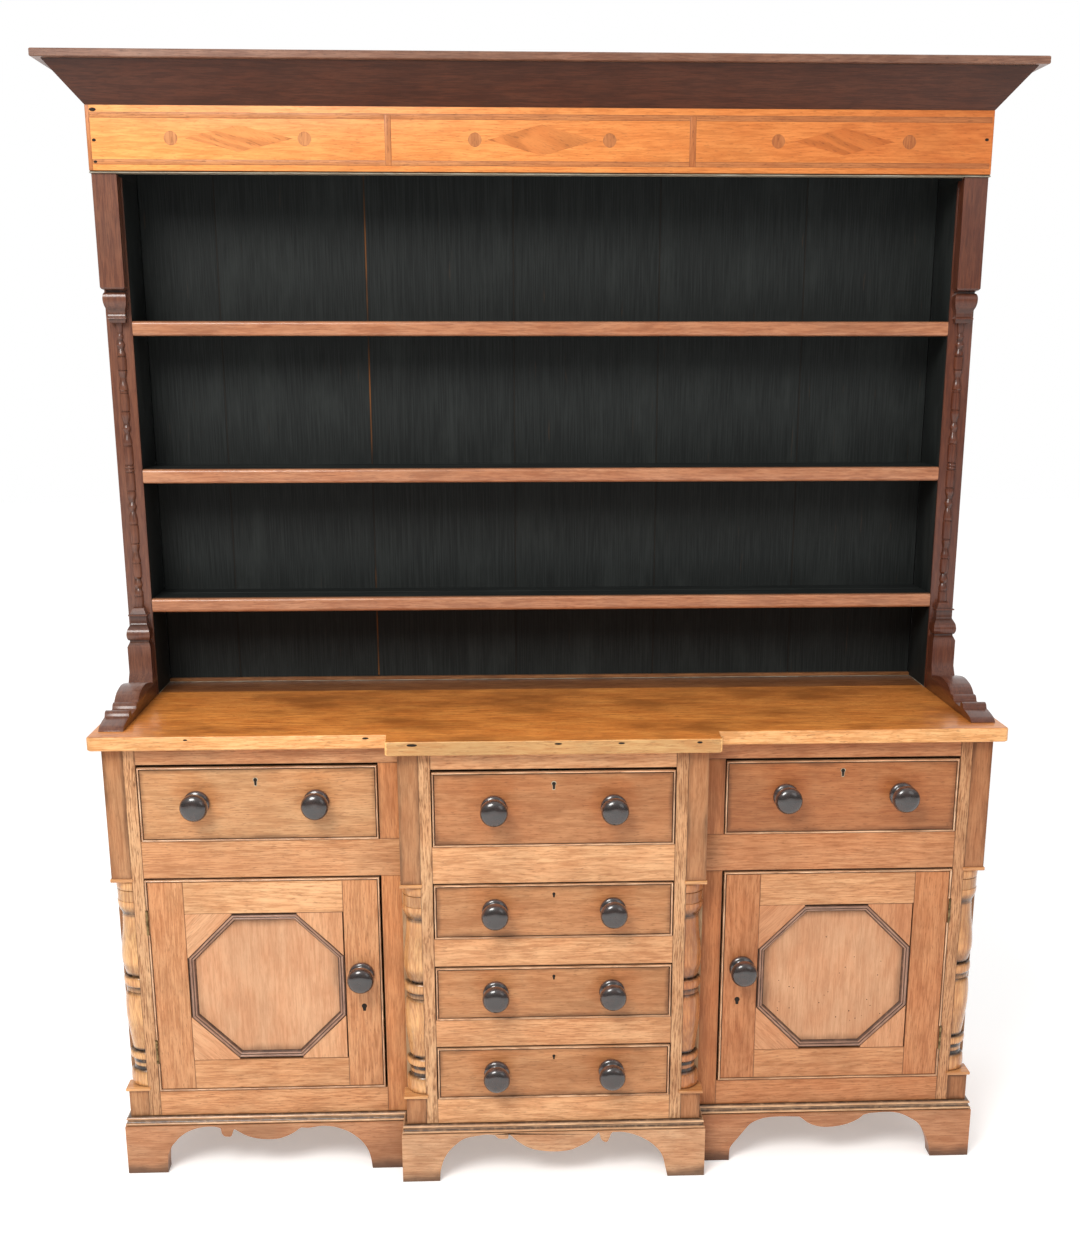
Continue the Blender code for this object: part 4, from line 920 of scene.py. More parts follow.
def corner_post(piece, side, corner_x, face_y, inner_x, shade):
    """A corner post: its stile, the blocks over and under the column, abacus and cap."""
    notch = corner_x - BLOCK
    looks = dict(grain=Z, face=Y)
    stile = mirrored(inner_x, notch, side)
    piece.add(board(*stile, face_y, face_y + POST_DEPTH, FRAME_LOW, FRAME_HIGH), "bold_oak",
              tone=0.1 + shade, **looks)
    block = mirrored(notch, corner_x, side)
    head = DOOR_HEAD
    for low, high in ((head, FRAME_HIGH), (FRAME_LOW, COLUMN_LOW - CAP_THICK)):
        piece.add(board(*block, face_y, face_y + BLOCK, low, high), "block_oak", tone=shade,
                  **looks)
    inner = mirrored(notch, corner_x - END_THICK - GAP, side)
    piece.add(board(*inner, face_y + BLOCK, face_y + POST_DEPTH, FRAME_LOW, FRAME_HIGH), "oak",
              **looks)
    for low, high, proud in ((COLUMN_HIGH, head, ABACUS_PROUD),
                             (COLUMN_LOW - CAP_THICK, COLUMN_LOW, CAP_PROUD)):
        plate = mirrored(notch - proud, corner_x + proud, side)
        piece.add(board(*plate, face_y - proud, face_y + BLOCK, low, high, arris=PLATE_ROUND,
                        steps=4), "column_oak", X, Y, tone=shade, spread=0)


def rail(piece, x0, x1, face_y, low, high, **looks):
    piece.add(board(x0, x1, face_y, face_y + RAIL_DEPTH, low, high), "oak", X, Y, **looks)


def build_side_frame(name, side):
    """The frame round a side drawer and its cupboard."""
    drawer, door = span(f"{name}_drawer_front"), span(f"{name}_door_frame")
    outer_x = max(abs(drawer.x0), abs(drawer.x1)) + DRAWER_GAP
    inner_x = min(abs(drawer.x0), abs(drawer.x1)) - DRAWER_GAP
    piece = Piece(f"{name}_frame_boards")
    shade = PAINTED_SIDE_SHADE[side]
    corner_post(piece, side, BASE_X, SIDE_Y, outer_x, shade)
    stile = mirrored(CENTRE_X + GAP, inner_x, side)
    head_low, drawer_low = drawer.z1 + DRAWER_TOP_GAP, drawer.z0 - GAP
    piece.add(board(*stile, SIDE_Y + RAIL_DEPTH, SIDE_Y + POST_DEPTH, FRAME_LOW, FRAME_HIGH),
              "oak", Z, Y, tone=-0.25)
    for low, high, tone in ((drawer_low, head_low, 0.05), (FRAME_LOW, DOOR_HEAD, 0.0)):
        piece.add(board(*stile, SIDE_Y, SIDE_Y + RAIL_DEPTH, low, high), "warm_oak", Z, Y,
                  tone=tone + shade, spread=0.2)
    width = mirrored(CENTRE_X + GAP, outer_x, side)
    rail(piece, *width, SIDE_Y, head_low, FRAME_HIGH, tone=shade - 0.3)
    rail(piece, *width, SIDE_Y, DOOR_HEAD, drawer_low, tone=shade - 0.1)
    rail(piece, *mirrored(inner_x, outer_x, side), SIDE_Y, FRAME_LOW, door.z0 - DOOR_FOOT_GAP,
         tone=shade - 0.35)
    piece.done(replaces=[f"{name}_face_frame"])


def build_centre_frame():
    """The frame round the four centre drawers."""
    drawers = [span(f"centre_drawer_{number}_front") for number in (1, 2, 3, 4)]
    inner_x = drawers[0].x1 + DRAWER_GAP
    piece = Piece("centre_frame_boards")
    for side in (-1, 1):
        corner_post(piece, side, CENTRE_X, FRONT_Y, inner_x, PAINTED_SIDE_SHADE[side] / 2)
    tops = [FRAME_HIGH] + [drawer.z0 - GAP for drawer in drawers]
    bottoms = [drawer.z1 + DRAWER_TOP_GAP for drawer in drawers] + [FRAME_LOW]
    for high, low in zip(tops, bottoms):
        rail(piece, -inner_x, inner_x, FRONT_Y, low, high, tone=0.1)
    piece.done(replaces=["centre_face_frame"])


COLUMN_RADIUS = 38  # the largest in the list below
# From the top of the column down: distance, radius, in millimetres.
COLUMN_RUNS = (
    ((0, 35), (1.5, 37.3), (9.5, 38), (17, 37.3), (18.6, 35.5)),
    ((19.5, 36.4), (20, 37)), ((40, 37), (40.6, 36.4)),
    ((42, 37.9), (50, 37.6), (58, 35.5), (66, 32), (71, 30.8)),
    ((74, 31), (100, 32.4), (130, 36), (152, 37.9), (168, 37.8), (185, 34.5), (197, 31)),
    ((198, 35), (201, 37.1), (208, 37.8), (215, 37.1), (218, 35)),
    ((219, 34.3), (228, 34.3)),
    ((229, 32.6), (232, 34), (238, 36.2), (258, 37.8), (280, 37.9), (300, 36.5), (330, 33),
     (354, 30)),
    ((355, 34), (357.5, 36.3), (363, 37), (368.5, 36.3), (371, 34)),
    ((373, 31.8), (383, 30.4), (393, 30.8)),
    ((394.5, 33.5), (400, 36.4), (412, 37.6), (423, 37.2), (428, 35)),
)


def build_columns():
    """Quarter columns, turned about the inner corner of each notch."""
    curve = smooth_runs(COLUMN_RUNS)
    length = OUTER.z1 - OUTER.z0
    stretch = length / curve[-1][0]
    fit = (BLOCK - GAP) / COLUMN_RADIUS
    profile = [(radius * fit, length - distance * stretch) for distance, radius in curve]
    # the right columns' darker tones are painted shade of the light that falls from the left
    for name, side, corner_x, face_y, tone in (
            ("outer_left_column", -1, BASE_X, SIDE_Y, 0.4),
            ("inner_left_column", -1, CENTRE_X, FRONT_Y, 0.15),
            ("inner_right_column", 1, CENTRE_X, FRONT_Y, -1.2),
            ("outer_right_column", 1, BASE_X, SIDE_Y, -0.3)):
        body = turned(profile, sizes().turning_steps, -math.pi / 2, math.pi / 2)
        turn = 0 if side > 0 else -math.pi / 2
        place = (side * (corner_x - BLOCK + GAP), face_y + BLOCK - GAP, OUTER.z0)
        moved(body, Matrix.Translation(place) @ Matrix.Rotation(turn, 4, "Z"))
        piece = Piece(f"{name}_turning")
        piece.add(body, "column_oak", Z, Y, tone=tone, spread=0.2)
        piece.done(replaces=[name])


def build_ends():
    """The ends of the base in upright boards, and its back in rough ones."""
    for name, side in (("left", -1), ("right", 1)):
        end = span(f"{name}_end")
        piece = Piece(f"{name}_end_boards")
        joint = end.y0 + END_JOINT * (end.y1 - end.y0)
        for y0, y1 in ((end.y0, joint), (joint, end.y1)):
            piece.add(board(end.x0, end.x1, y0, y1, end.z0, end.z1, arris=0.0005), "oak", Z,
                      X * side, tone=-0.1)
        piece.done(replaces=[f"{name}_end"])
    back = span("base_back")
    piece = Piece("base_back_boards")
    width = (back.x1 - back.x0) / BACK_BOARDS
    for i in range(BACK_BOARDS):
        x0 = back.x0 + i * width
        piece.add(board(x0, x0 + width, back.y0, back.y1, back.z0, back.z1, arris=0.0015),
                  "raw_oak", Z, Y, spread=1.0)
    piece.done(replaces=["base_back"])
    for node in ("floor_board", "upper_dust_board", "centre_dust_board_1", "centre_dust_board_2"):
        refinish(node, "raw_along")
    for node in ("left_partition", "right_partition"):
        refinish(node, "raw_upright")


# Plinth

# Cut-outs under the plinth, as runs that join at corners: distance from the left foot, height.
CENTRE_APRON = (
    ((0, 0), (1, 18), (4, 33), (8, 46), (14, 58), (22, 69), (33, 80), (46, 90), (60, 95),
     (78, 98), (95, 100), (110, 98)),
    ((112, 95), (117, 91), (125, 90), (135.5, 90)),
    ((137, 101), (143, 95), (150, 88), (160, 79.5), (173, 71), (186, 65.5), (200, 62.5),
     (220, 60), (239, 60), (260, 63), (278, 71), (293, 79), (303, 87), (312, 97)),
    ((315, 100), (317, 94), (320, 84), (326, 79), (332, 79), (336, 87), (339, 96)),
    ((342, 99.5), (357, 100), (375, 97), (394, 90), (410, 81), (425, 69), (437, 55), (444, 40),
     (448, 22), (453, 0)),
)
LEFT_APRON = (
    ((0, 0), (0.5, 27), (3, 41), (10, 57), (18, 67), (27, 77), (40, 87), (55, 94), (70, 98),
     (85, 99.5), (100, 98.5), (109, 95)),
    ((110.5, 84), (115, 78), (121, 76.5), (128.5, 77), (132, 84), (134, 91)),
    ((136.5, 93), (145, 87), (156, 80), (170, 74), (188, 70), (209, 69), (227, 71), (245, 78),
     (257, 85), (264, 90.5)),
    ((269, 93.5), (282, 92.5), (294, 94), (309, 96), (330, 94.5), (348, 89), (365, 81),
     (380, 69), (391, 57), (400, 41), (405, 24), (408, 0)),
)
RIGHT_APRON = (
    ((0, 0), (0.5, 19), (3, 31), (14, 46), (29, 66), (41, 80.5), (56, 89), (71, 93.5),
     (90, 95.5), (114, 95.5), (140, 94.5)),
    ((142, 93.5), (148, 89), (158, 81), (173, 74), (192, 70), (214, 71), (235, 75), (253, 82),
     (265, 89.5), (271, 95.5)),
    ((283, 99), (311, 101), (330, 100.5), (348, 96.5), (367, 87), (383, 76), (394, 61),
     (404, 41), (410, 23), (413, 0)),
)
# Moulded band round the plinth: height below its top, how far it stands proud.
BAND_RUNS = (((18.5, 6.5), (17.6, 6.5)), ((17.2, 7.6), (16.2, 9.2), (14.8, 9.9), (13.4, 9.4),
                                         (12.4, 8.0)),
             ((11.8, 6.6), (10.5, 5.6), (8.4, 5.1), (6.4, 5.6)),
             ((5.8, 6.8), (4.6, 7.9), (2.9, 7.9), (1.4, 6.8)), ((0.4, 4.8), (0, 4.4)))


# How wide the feet are: left of each front cut-out, and at both ends of a side's arch
CENTRE_FOOT, LEFT_FOOT, RIGHT_FOOT, SIDE_FOOT = 0.0625, 0.068, 0.070, 0.070
ARCH_HEAD = 0.028  # wood above the arch in a side


def apron(runs, low_x, high_x, foot_left, top):
    """A front board of the plinth, with its feet and its cut-out."""
    curve = [(foot_left + x * MM, z * MM) for x, z in smooth_runs(runs, 4)]
    return [(low_x, 0)] + curve + [(high_x, 0), (high_x, top), (low_x, top)]


def mitre(body, point, normal):
    """Cut off what lies beyond a plane, and close the cut."""
    cut = bmesh.ops.bisect_plane(body, geom=body.verts[:] + body.edges[:] + body.faces[:],
                                 plane_co=point, plane_no=normal, clear_outer=True, dist=1e-6)
    edges = [part for part in cut["geom_cut"] if isinstance(part, bmesh.types.BMEdge)]
    bmesh.ops.contextual_create(body, geom=edges)
    bmesh.ops.recalc_face_normals(body, faces=body.faces)
    return body


def grounded(body):
    """Lift what the easing of the edges has pushed below the floor."""
    for vert in body.verts:
        vert.co.z = max(vert.co.z, 0.0)
    return body


def plan_path(proud=0.0):
    """The base's faces in plan, from the back left corner round to the back right."""
    right = [(CENTRE_X + proud, FRONT_Y - proud), (CENTRE_X + proud, SIDE_Y - proud),
             (BASE_X + proud, SIDE_Y - proud), (BASE_X + proud, BACK_Y)]
    return [(-x, y) for x, y in reversed(right)] + right


def build_plinth():
    """Bracket feet and aprons, mitred at the corners, under a moulded band."""
    piece = Piece("plinth_boards")
    top = PLINTH.z1 - BAND_HEIGHT - GAP
    inner, outer = PLINTH_BOARD, PLINTH_PROUD
    # the right apron's tone, darker than the left's, is painted shade of the light that falls from
    # the left
    fronts = (
        (CENTRE_APRON, -CENTRE_X - outer, CENTRE_X + outer, CENTRE_FOOT - CENTRE_X, FRONT_Y,
         (True, True), 0.45),
        (LEFT_APRON, -BASE_X - outer, -CENTRE_X - outer + GAP, LEFT_FOOT - BASE_X, SIDE_Y,
         (True, False), -0.45),
        (RIGHT_APRON, CENTRE_X + outer - GAP, BASE_X + outer, CENTRE_X + RIGHT_FOOT, SIDE_Y,
         (False, True), -0.8))
    for runs, low_x, high_x, foot_left, face, mitres, tone in fronts:
        outline = apron(runs, low_x, high_x, foot_left, top)
        body = grounded(cut_out(outline, 1, face - outer, face + inner, arris=PLINTH_ARRIS))
        for side, corner_x, wanted in ((-1, low_x, mitres[0]), (1, high_x, mitres[1])):
            if wanted:
                mitre(body, (corner_x, face - outer, 0), (side, 1, 0))
        piece.add(body, "plinth_oak", X, Y, tone=tone, spread=0.1, edges=CLEAN)
    rise = PLINTH.z1 - ARCH_HEAD
    start, end = SIDE_Y + SIDE_FOOT, BACK_Y - SIDE_FOOT
    arch = [(start + rise / 2 * (1 - math.cos(turn)), rise / 2 * (1 + math.sin(turn)))
            for turn in (math.pi / 2 * i / 10 for i in range(11))]
    arch += [(start + end - y, z) for y, z in reversed(arch)]
    outline = [(SIDE_Y - outer, 0), (start, 0)] + arch
    outline += [(end, 0), (BACK_Y, 0), (BACK_Y, top), (SIDE_Y - outer, top)]
    for side in (-1, 1):
        width = mirrored(BASE_X - inner, BASE_X + outer, side)
        body = cut_out(outline, 0, *width, arris=PLINTH_ARRIS)
        grounded(body)
        mitre(body, (side * (BASE_X + outer), SIDE_Y - outer, 0), (-side, -1, 0))
        piece.add(body, "plinth_oak", Y, X * side, edges=CLEAN)
        ends = mirrored(CENTRE_X - inner, CENTRE_X + outer, side)
        body = board(*ends, FRONT_Y - outer, SIDE_Y + inner, 0, top, arris=0.0006)
        mitre(body, (side * (CENTRE_X + outer), FRONT_Y - outer, 0), (-side, -1, 0))
        piece.add(body, "plinth_oak", Y, X * side, edges=CLEAN)
    curve = [(proud * MM, PLINTH.z1 - drop * MM) for drop, proud in smooth_runs(BAND_RUNS, 3)]
    back = -PLINTH_BOARD
    profile = [(back, PLINTH.z1 - BAND_HEIGHT)] + curve + [(back, PLINTH.z1)]
    # the band's quirks are darkened with dirt and painted shadow lines
    grimes = hollows([(z, proud) for proud, z in profile], reach=0.003, depth=0.003)
    piece.add_lengths(mitred(plan_path, profile, level, False, grimes), "band_oak", Z,
                      spread=0.2)
    piece.done(replaces=["plinth"])


# Drawers and doors

# From the base of the knob outwards: radius, distance from the face, in millimetres.
KNOB_RUNS = (
    ((22, 0.3), (24.3, 1.4), (25, 4.4), (24.3, 7.8), (22, 10.0)),
    ((19.4, 10.8), (15.4, 13.6), (13, 17), (13.4, 20.2), (15.6, 22.2)),
    ((18.6, 22.8), (22.6, 25.6), (25.3, 30.2), (26, 35.4), (25.2, 40.4), (22.2, 44.8),
     (16.6, 48.0), (9.4, 49.7), (2.0, 50)),
)
LINING, LINING_DEPTH = 0.0012, 0.002  # the metal round a lined keyhole
KEYHOLE_DEPTH = 0.004
# Widths and heights of the keyholes in a tall drawer, in the others and in a door
TALL_KEYHOLE, SMALL_KEYHOLE, DOOR_KEYHOLE = (0.0058, 0.0145), (0.0048, 0.0100), (0.0085, 0.0155)
DOWEL_RADIUS = 0.006
DOWEL_LENGTH = 0.014


def build_knob(name, node, body_name):
    """A turned knob: a base, a waist and a domed head, with its dowel."""
    box = span(node)
    profile = [(DOWEL_RADIUS, -DOWEL_LENGTH), (DOWEL_RADIUS, GAP)]
    profile += [(radius * MM, reach * MM) for radius, reach in smooth_runs(KNOB_RUNS, 5)]
    middle = ((box.x0 + box.x1) / 2, box.y1 - DOWEL_LENGTH, (box.z0 + box.z1) / 2)
    body = turned(profile, 48)
    moved(body, Matrix.Translation(middle) @ Matrix.Rotation(math.pi / 2, 4, "X"))
    piece = Piece(name)
    piece.add(body, "knob_polish", X, Y)
    piece.done(body=body_name, replaces=[node])


def cockbead(piece, x0, x1, z0, z1, face, depth, hinge_x=None, hinges=()):
    """A half-round bead, mitred round the edge of a front, and the groove inside it, painted dark
    with dirt and shade.

    Its upright at hinge_x is left out where the hinges are, from each low to each high.
    """
    ends = [-FAR] + [z for hinge in hinges for z in hinge] + [FAR]
    half = BEAD_WIDTH / 2
    curve = [(half - half * math.cos(turn), -BEAD_PROUD * math.sin(turn) ** BEAD_SHAPE)
             for turn in (math.pi * i / 8 for i in range(9))]
    profile = [(0, depth)] + curve + [(BEAD_WIDTH, depth)]
    start, end = BEAD_WIDTH - SKIN, BEAD_WIDTH + BEAD_QUIRK + GAP
    floor = [(start, QUIRK_BOTTOM), (start, QUIRK_DEPTH), (end, QUIRK_DEPTH), (end, QUIRK_BOTTOM)]
    for section, finish in ((profile, "bead_oak"), (floor, "groove_dirt")):
        for body, run in mitred(rectangle(x0, x1, z0, z1), section, upright(face)):
            parts = [(body, run)]
            if hinges and all(abs(v.co.x - hinge_x) < 0.01 for v in body.verts):
                parts = []
                for low, high in zip(ends[::2], ends[1::2]):
                    part = mitre(body.copy(), (0, 0, high), (0, 0, 1))
                    parts.append((mitre(part, (0, 0, low), (0, 0, -1)), run))
                body.free()
            piece.add_lengths(parts, finish, spread=0.2)


def keyhole(piece, x, z, face, width, height, lined=False):
    """A keyhole, round above and square below, with or without a thin brass lining: a dark plug
    painted as the shade inside the hole.
    """
    radius = width * 0.62
    head = [(x + radius * math.cos(a), z + height / 2 - radius + radius * math.sin(a))
            for a in (math.radians(-50 + 280 * i / 14) for i in range(15))]
    shape = head + [(x - width * 0.32, z - height / 2), (x + width * 0.32, z - height / 2)]
    piece.add(cut_out(shape, 1, face - SKIN, face + KEYHOLE_DEPTH), "dark_iron")
    if lined:
        def rim(inset):
            grow = LINING - inset
            return [(x + (px - x) * (1 + grow / radius), z + (pz - z) * (1 + 2 * grow / height))
                    for px, pz in shape]
        profile = [(0, LINING_DEPTH), (0, -GAP), (LINING, -GAP), (LINING, LINING_DEPTH)]
        piece.add_lengths(mitred(rim, profile, upright(face)), "worn_brass")


# Keyholes of the tall drawers: how far beside the middle, how far below the top.
KEYHOLES = {"left_drawer": (-0.004, 0.031), "right_drawer": (0.0, 0.026),
            "centre_drawer_1": (0.0, 0.029)}
LOW_KEYHOLE = (0.0, 0.0215)  # the same for the others
TALL_DRAWER = 0.12  # a front higher than this is a tall drawer's
DRAWER_FACING = 0.012  # thickness of the front's show wood
CORE_DEPTH = 0.004  # from the face to the rough wood that the show wood is laid in
DRAWER_BEAD_DEPTH = 0.006
HALO_RISE = 0.008  # the wood is reddest this far above the middle of a knob
LOCK_WIDTH = 0.056
LAP = 0.007  # wood of a drawer's front that covers the ends of its dovetails
TAIL_START, TAIL_END = 0.16, 0.84  # shares of the pitch between which a dovetail lies
TAIL_FLARE = 0.004
BOX_WALL, BOX_FLOOR = 0.012, 0.008
BOX_ARRIS = 0.0010
# Tones of the drawers' fronts. The others have REST_TONE.
# the right drawer's dark tone is painted shade of the light that falls from the left
DRAWER_TONES = {"left_drawer": 0.05, "right_drawer": -1.3, "centre_drawer_1": -0.9}
REST_TONE = -0.55


def build_drawer(name):
    """A drawer: cockbeaded front with its lock, dovetailed box and two knobs."""
    front, box = span(f"{name}_front"), span(f"{name}_box")
    face = front.y0 + BEAD_PROUD
    middle = (front.x0 + front.x1) / 2
    tone = DRAWER_TONES.get(name, REST_TONE)
    high = front.z1 - front.z0 > TALL_DRAWER
    crown = front.z1 - (DRAWER_SAG if high else 0.0)
    piece = Piece(f"{name}_front_board")
    inset = BEAD_WIDTH + BEAD_QUIRK
    left, right = span(f"{name}_knob_left"), span(f"{name}_knob_right")
    places = [(knob.x0 + knob.x1) / 2 for knob in (left, right)]
    knobs = (sum(places) / 2, (left.z0 + left.z1) / 2 + HALO_RISE, (places[1] - places[0]) / 2)
    piece.add(board(front.x0 + inset, front.x1 - inset, face, face + DRAWER_FACING,
                    front.z0 + inset, crown - inset, arris=0.0007),
              "drawer_oak", X, Y, tone=tone, spread=0.2, knobs=knobs)
    piece.add(board(front.x0 + GAP, front.x1 - GAP, face + CORE_DEPTH, face + DRAWER_FRONT,
                    front.z0 + GAP, crown - GAP), "raw_oak", X, Y)
    cockbead(piece, front.x0, front.x1, front.z0, crown, face, DRAWER_BEAD_DEPTH)
    aside, below = KEYHOLES.get(name, LOW_KEYHOLE)
    opening = TALL_KEYHOLE if high else SMALL_KEYHOLE
    keyhole(piece, middle + aside, front.z1 - below, face, *opening, lined=high)
    tails = 3 if high else 2
    pitch = (box.z1 - box.z0) / tails
    tail_face = face + LAP
    for side, x in ((-1, front.x0), (1, front.x1)):
        for i in range(tails):
            low, top = (box.z0 + (i + share) * pitch for share in (TAIL_START, TAIL_END))
            tail = [(tail_face, low - TAIL_FLARE), (face + DRAWER_FRONT, low),
                    (face + DRAWER_FRONT, top), (tail_face, top + TAIL_FLARE)]
            piece.add(cut_out(tail, 0, x - SKIN, x + SKIN), "raw_oak", Y, X * side, tone=0.5)
    plate = board(middle - LOCK_WIDTH / 2, middle + LOCK_WIDTH / 2, tail_face, face + 0.018,
                  crown - 0.002, crown + SKIN, arris=HAIR)
    piece.add(plate, "aged_brass")
    piece.done(body=name, replaces=[f"{name}_front"])

    piece = Piece(f"{name}_box_boards")
    left, right, floor = box.x0 + BOX_WALL, box.x1 - BOX_WALL, box.z0 + BOX_FLOOR
    for side, x0, x1 in ((-1, box.x0, left), (1, right, box.x1)):
        piece.add(board(x0, x1, box.y0, box.y1, floor, box.z1, BOX_ARRIS), "raw_oak", Y, X * side)
    piece.add(board(left, right, box.y1 - BOX_WALL, box.y1, floor, box.z1, BOX_ARRIS), "raw_oak",
              X, Y)
    piece.add(board(box.x0, box.x1, box.y0, box.y1, box.z0, floor, arris=0.0008), "raw_oak", X, Z,
              tone=0.2)
    piece.done(body=name, replaces=[f"{name}_box"])
    for side in ("left", "right"):
        build_knob(f"{name}_turned_knob_{side}", f"{name}_knob_{side}", name)


# Section of the octagonal moulding: inset from its outer edge, depth behind the door's face.
OCTAGON_RUNS = (((0, 2.2), (0.9, 2.5)),
                ((1.2, 1.4), (2.2, 0.1), (3.6, -0.3), (5.0, 0.2), (6.0, 1.4)),
                ((6.3, 2.4), (6.9, 2.5)), ((7.2, 1.7), (8.2, 1.1), (9.6, 1.6), (10.8, 3.2)),
                ((11.2, 4.4), (12.2, 5.6), (13.4, 8.2)))


KNUCKLE_BACK = -0.1910  # just behind the hinges' barrels
HINGE_LEAF = 0.001
LOCK_HEIGHT = 0.060
LOCK_FRONT, LOCK_BACK = 0.004, 0.016  # behind the door's face
STILE_SHADE = 0.45  # how much a door's stiles are darkened
PANEL_BACK = 0.012  # back of the panel's corners and of its moulding, behind the door's face
KEYHOLE_ASIDE = {-1: -0.0368, 1: 0.033}  # from the latch edge of the left and the right door
KEYHOLE_DROP = 0.048  # from the middle of the door's height
SHRINKAGE = 0.0024  # gap that the door panel has left beside its right stile
FIELD_DEPTH, CORNER_DEPTH = 0.0078, 0.0004  # the octagon's field and the corners, behind the face
FIELD_INSET = 0.012  # from the moulding's outer edge to the field's, which lies under it
TONGUE = 0.0077  # how far the panel reaches into the door's frame
WORMHOLES = 26


def build_door(name, side):
    """A framed door with a sunk octagon in its panel, a knob, a keyhole, a lock and hinges."""
    door = span(f"{name}_frame")
    face = door.y0 + BEAD_PROUD
    back = face + DOOR_THICK
    x0, x1 = door.x0 + DOOR_STILE, door.x1 - DOOR_STILE
    z0, z1 = door.z0 + DOOR_BOTTOM_RAIL, door.z1 - DOOR_TOP_RAIL
    bead = BEAD_WIDTH + BEAD_QUIRK
    shade = PAINTED_SIDE_SHADE[side]
    piece = Piece(f"{name}_frame_boards")
    for low_x, high_x in ((door.x0 + bead, x0), (x1, door.x1 - bead)):
        piece.add(board(low_x, high_x, face, back, door.z0 + bead, door.z1 - bead), "oak", Z, Y,
                  tone=shade - STILE_SHADE, spread=0.3)
    for low_z, high_z, tone in ((door.z0 + bead, z0, -0.15), (z1, door.z1 - bead, 0.4)):
        piece.add(board(x0, x1, face, back, low_z, high_z), "oak", X, Y, tone=tone + shade)
    latch_x = door.x0 if side > 0 else door.x1
    hinge_x = door.x1 if side > 0 else door.x0
    hinges = [span(f"{name}_hinge_{place}") for place in ("lower", "upper")]
    cockbead(piece, door.x0, door.x1, door.z0, door.z1, face, DOOR_THICK, hinge_x,
             [(hinge.z0 - GAP, hinge.z1 + GAP) for hinge in hinges])
    stile_edge = sorted((hinge_x, hinge_x - side * bead))
    for hinge in hinges:
        piece.add(board(*stile_edge, KNUCKLE_BACK, back, hinge.z0 - GAP, hinge.z1 + GAP,
                        arris=2 * HAIR), "oak", Z, Y, tone=shade - STILE_SHADE)
    lock_z = (door.z0 + door.z1) / 2 - KEYHOLE_DROP
    keyhole(piece, latch_x + KEYHOLE_ASIDE[side], lock_z, face, *DOOR_KEYHOLE)
    lock = mirrored(*sorted((side * latch_x - GAP, side * latch_x + 0.002)), side)
    piece.add(board(*lock, face + LOCK_FRONT, face + LOCK_BACK, lock_z - LOCK_HEIGHT / 2,
                    lock_z + LOCK_HEIGHT / 2, arris=HAIR), "aged_brass")
    leaf = sorted((hinge_x - side * HINGE_LEAF, hinge_x + side * SKIN))
    for hinge in reversed(hinges):
        piece.add(board(*leaf, KNUCKLE_BACK, hinge.y1, hinge.z0, hinge.z1, arris=HAIR),
                  "aged_brass")
    for place in ("lower", "upper"):
        refinish(f"{name}_hinge_{place}", "aged_brass")
    piece.done(body=name, replaces=[f"{name}_frame"])

    panel = Piece(f"{name}_panel_boards")
    centre_x, centre_z = (x0 + x1) / 2, (z0 + z1) / 2
    apothem = min(x1 - x0, z1 - z0) / 2 - OCTAGON_MARGIN
    tangent = apothem * math.tan(math.pi / 8)
    for sx, edge_x in ((-1, x0 + GAP), (1, x1 - SHRINKAGE)):
        for sz in (-1, 1):
            corner = [(centre_x + sx * apothem, centre_z + sz * tangent),
                      (edge_x, centre_z + sz * tangent),
                      (edge_x, centre_z + sz * (z1 - z0 - 2 * GAP) / 2),
                      (centre_x + sx * tangent, centre_z + sz * (z1 - z0 - 2 * GAP) / 2),
                      (centre_x + sx * tangent, centre_z + sz * apothem)]
            slope = Vector((sx, 0, -sz)).normalized() if sx < 0 else Z.copy()
            panel.add(cut_out(corner, 1, face + CORNER_DEPTH, face + PANEL_BACK, arris=0.0006),
                      "corner_oak", slope, Y, tone=shade - 0.1 * sz)
    curve = [(inset * MM, depth * MM) for inset, depth in smooth_runs(OCTAGON_RUNS, 4)]
    profile = [(0, PANEL_BACK)] + curve + [(curve[-1][0], PANEL_BACK)]
    # the moulding's edges and hollows are darkened with dirt and painted shade
    grimes = [1.0] + hollows([(inset, -depth) for inset, depth in curve], 0.0022, 0.0022) + [1.0]
    panel.add_lengths(mitred(octagon(centre_x, centre_z, apothem), profile, upright(face), True,
                             grimes), "dark_moulding", spread=0.1)
    field = octagon(centre_x, centre_z, apothem)(FIELD_INSET)
    panel.add(cut_out(field, 1, face + FIELD_DEPTH, face + 0.016), "panel_oak", Z, Y,
              tone=0.1 + shade / 3, spread=0.1)
    # dark strips in the gaps beside the panel: painted shade
    for dark_x in (x0, x1 - SHRINKAGE):
        panel.add(board(dark_x - SKIN, dark_x + SHRINKAGE, face + 0.0085, face + 0.0123, z0, z1),
                  "groove_dirt", Z, Y)
    panel.add(board(x0 - TONGUE, x1 + TONGUE, face + 0.0125, back - 0.001, z0 - TONGUE,
                    z1 + TONGUE), "raw_oak", Z, Y)
    if side > 0:
        chance = random.Random(7)
        # worm holes: dark discs painted as the shade inside the holes
        for _ in range(WORMHOLES):
            spot = (chance.uniform(x0 + 0.03, x1 - 0.02), chance.gauss(z0 + 0.10, 0.05))
            sunk = octagon_holds(spot, centre_x, centre_z, apothem - 0.016)
            depth = FIELD_DEPTH if sunk else CORNER_DEPTH
            hole = cut_out(disc(*spot, chance.uniform(0.0007, 0.0013), steps=8), 1,
                           face + depth - SKIN, face + depth + 0.002)
            panel.add(hole, "dark_iron")
    panel.done(body=name, replaces=[f"{name}_panel"])
    build_knob(f"{name}_turned_knob", f"{name}_knob", name)


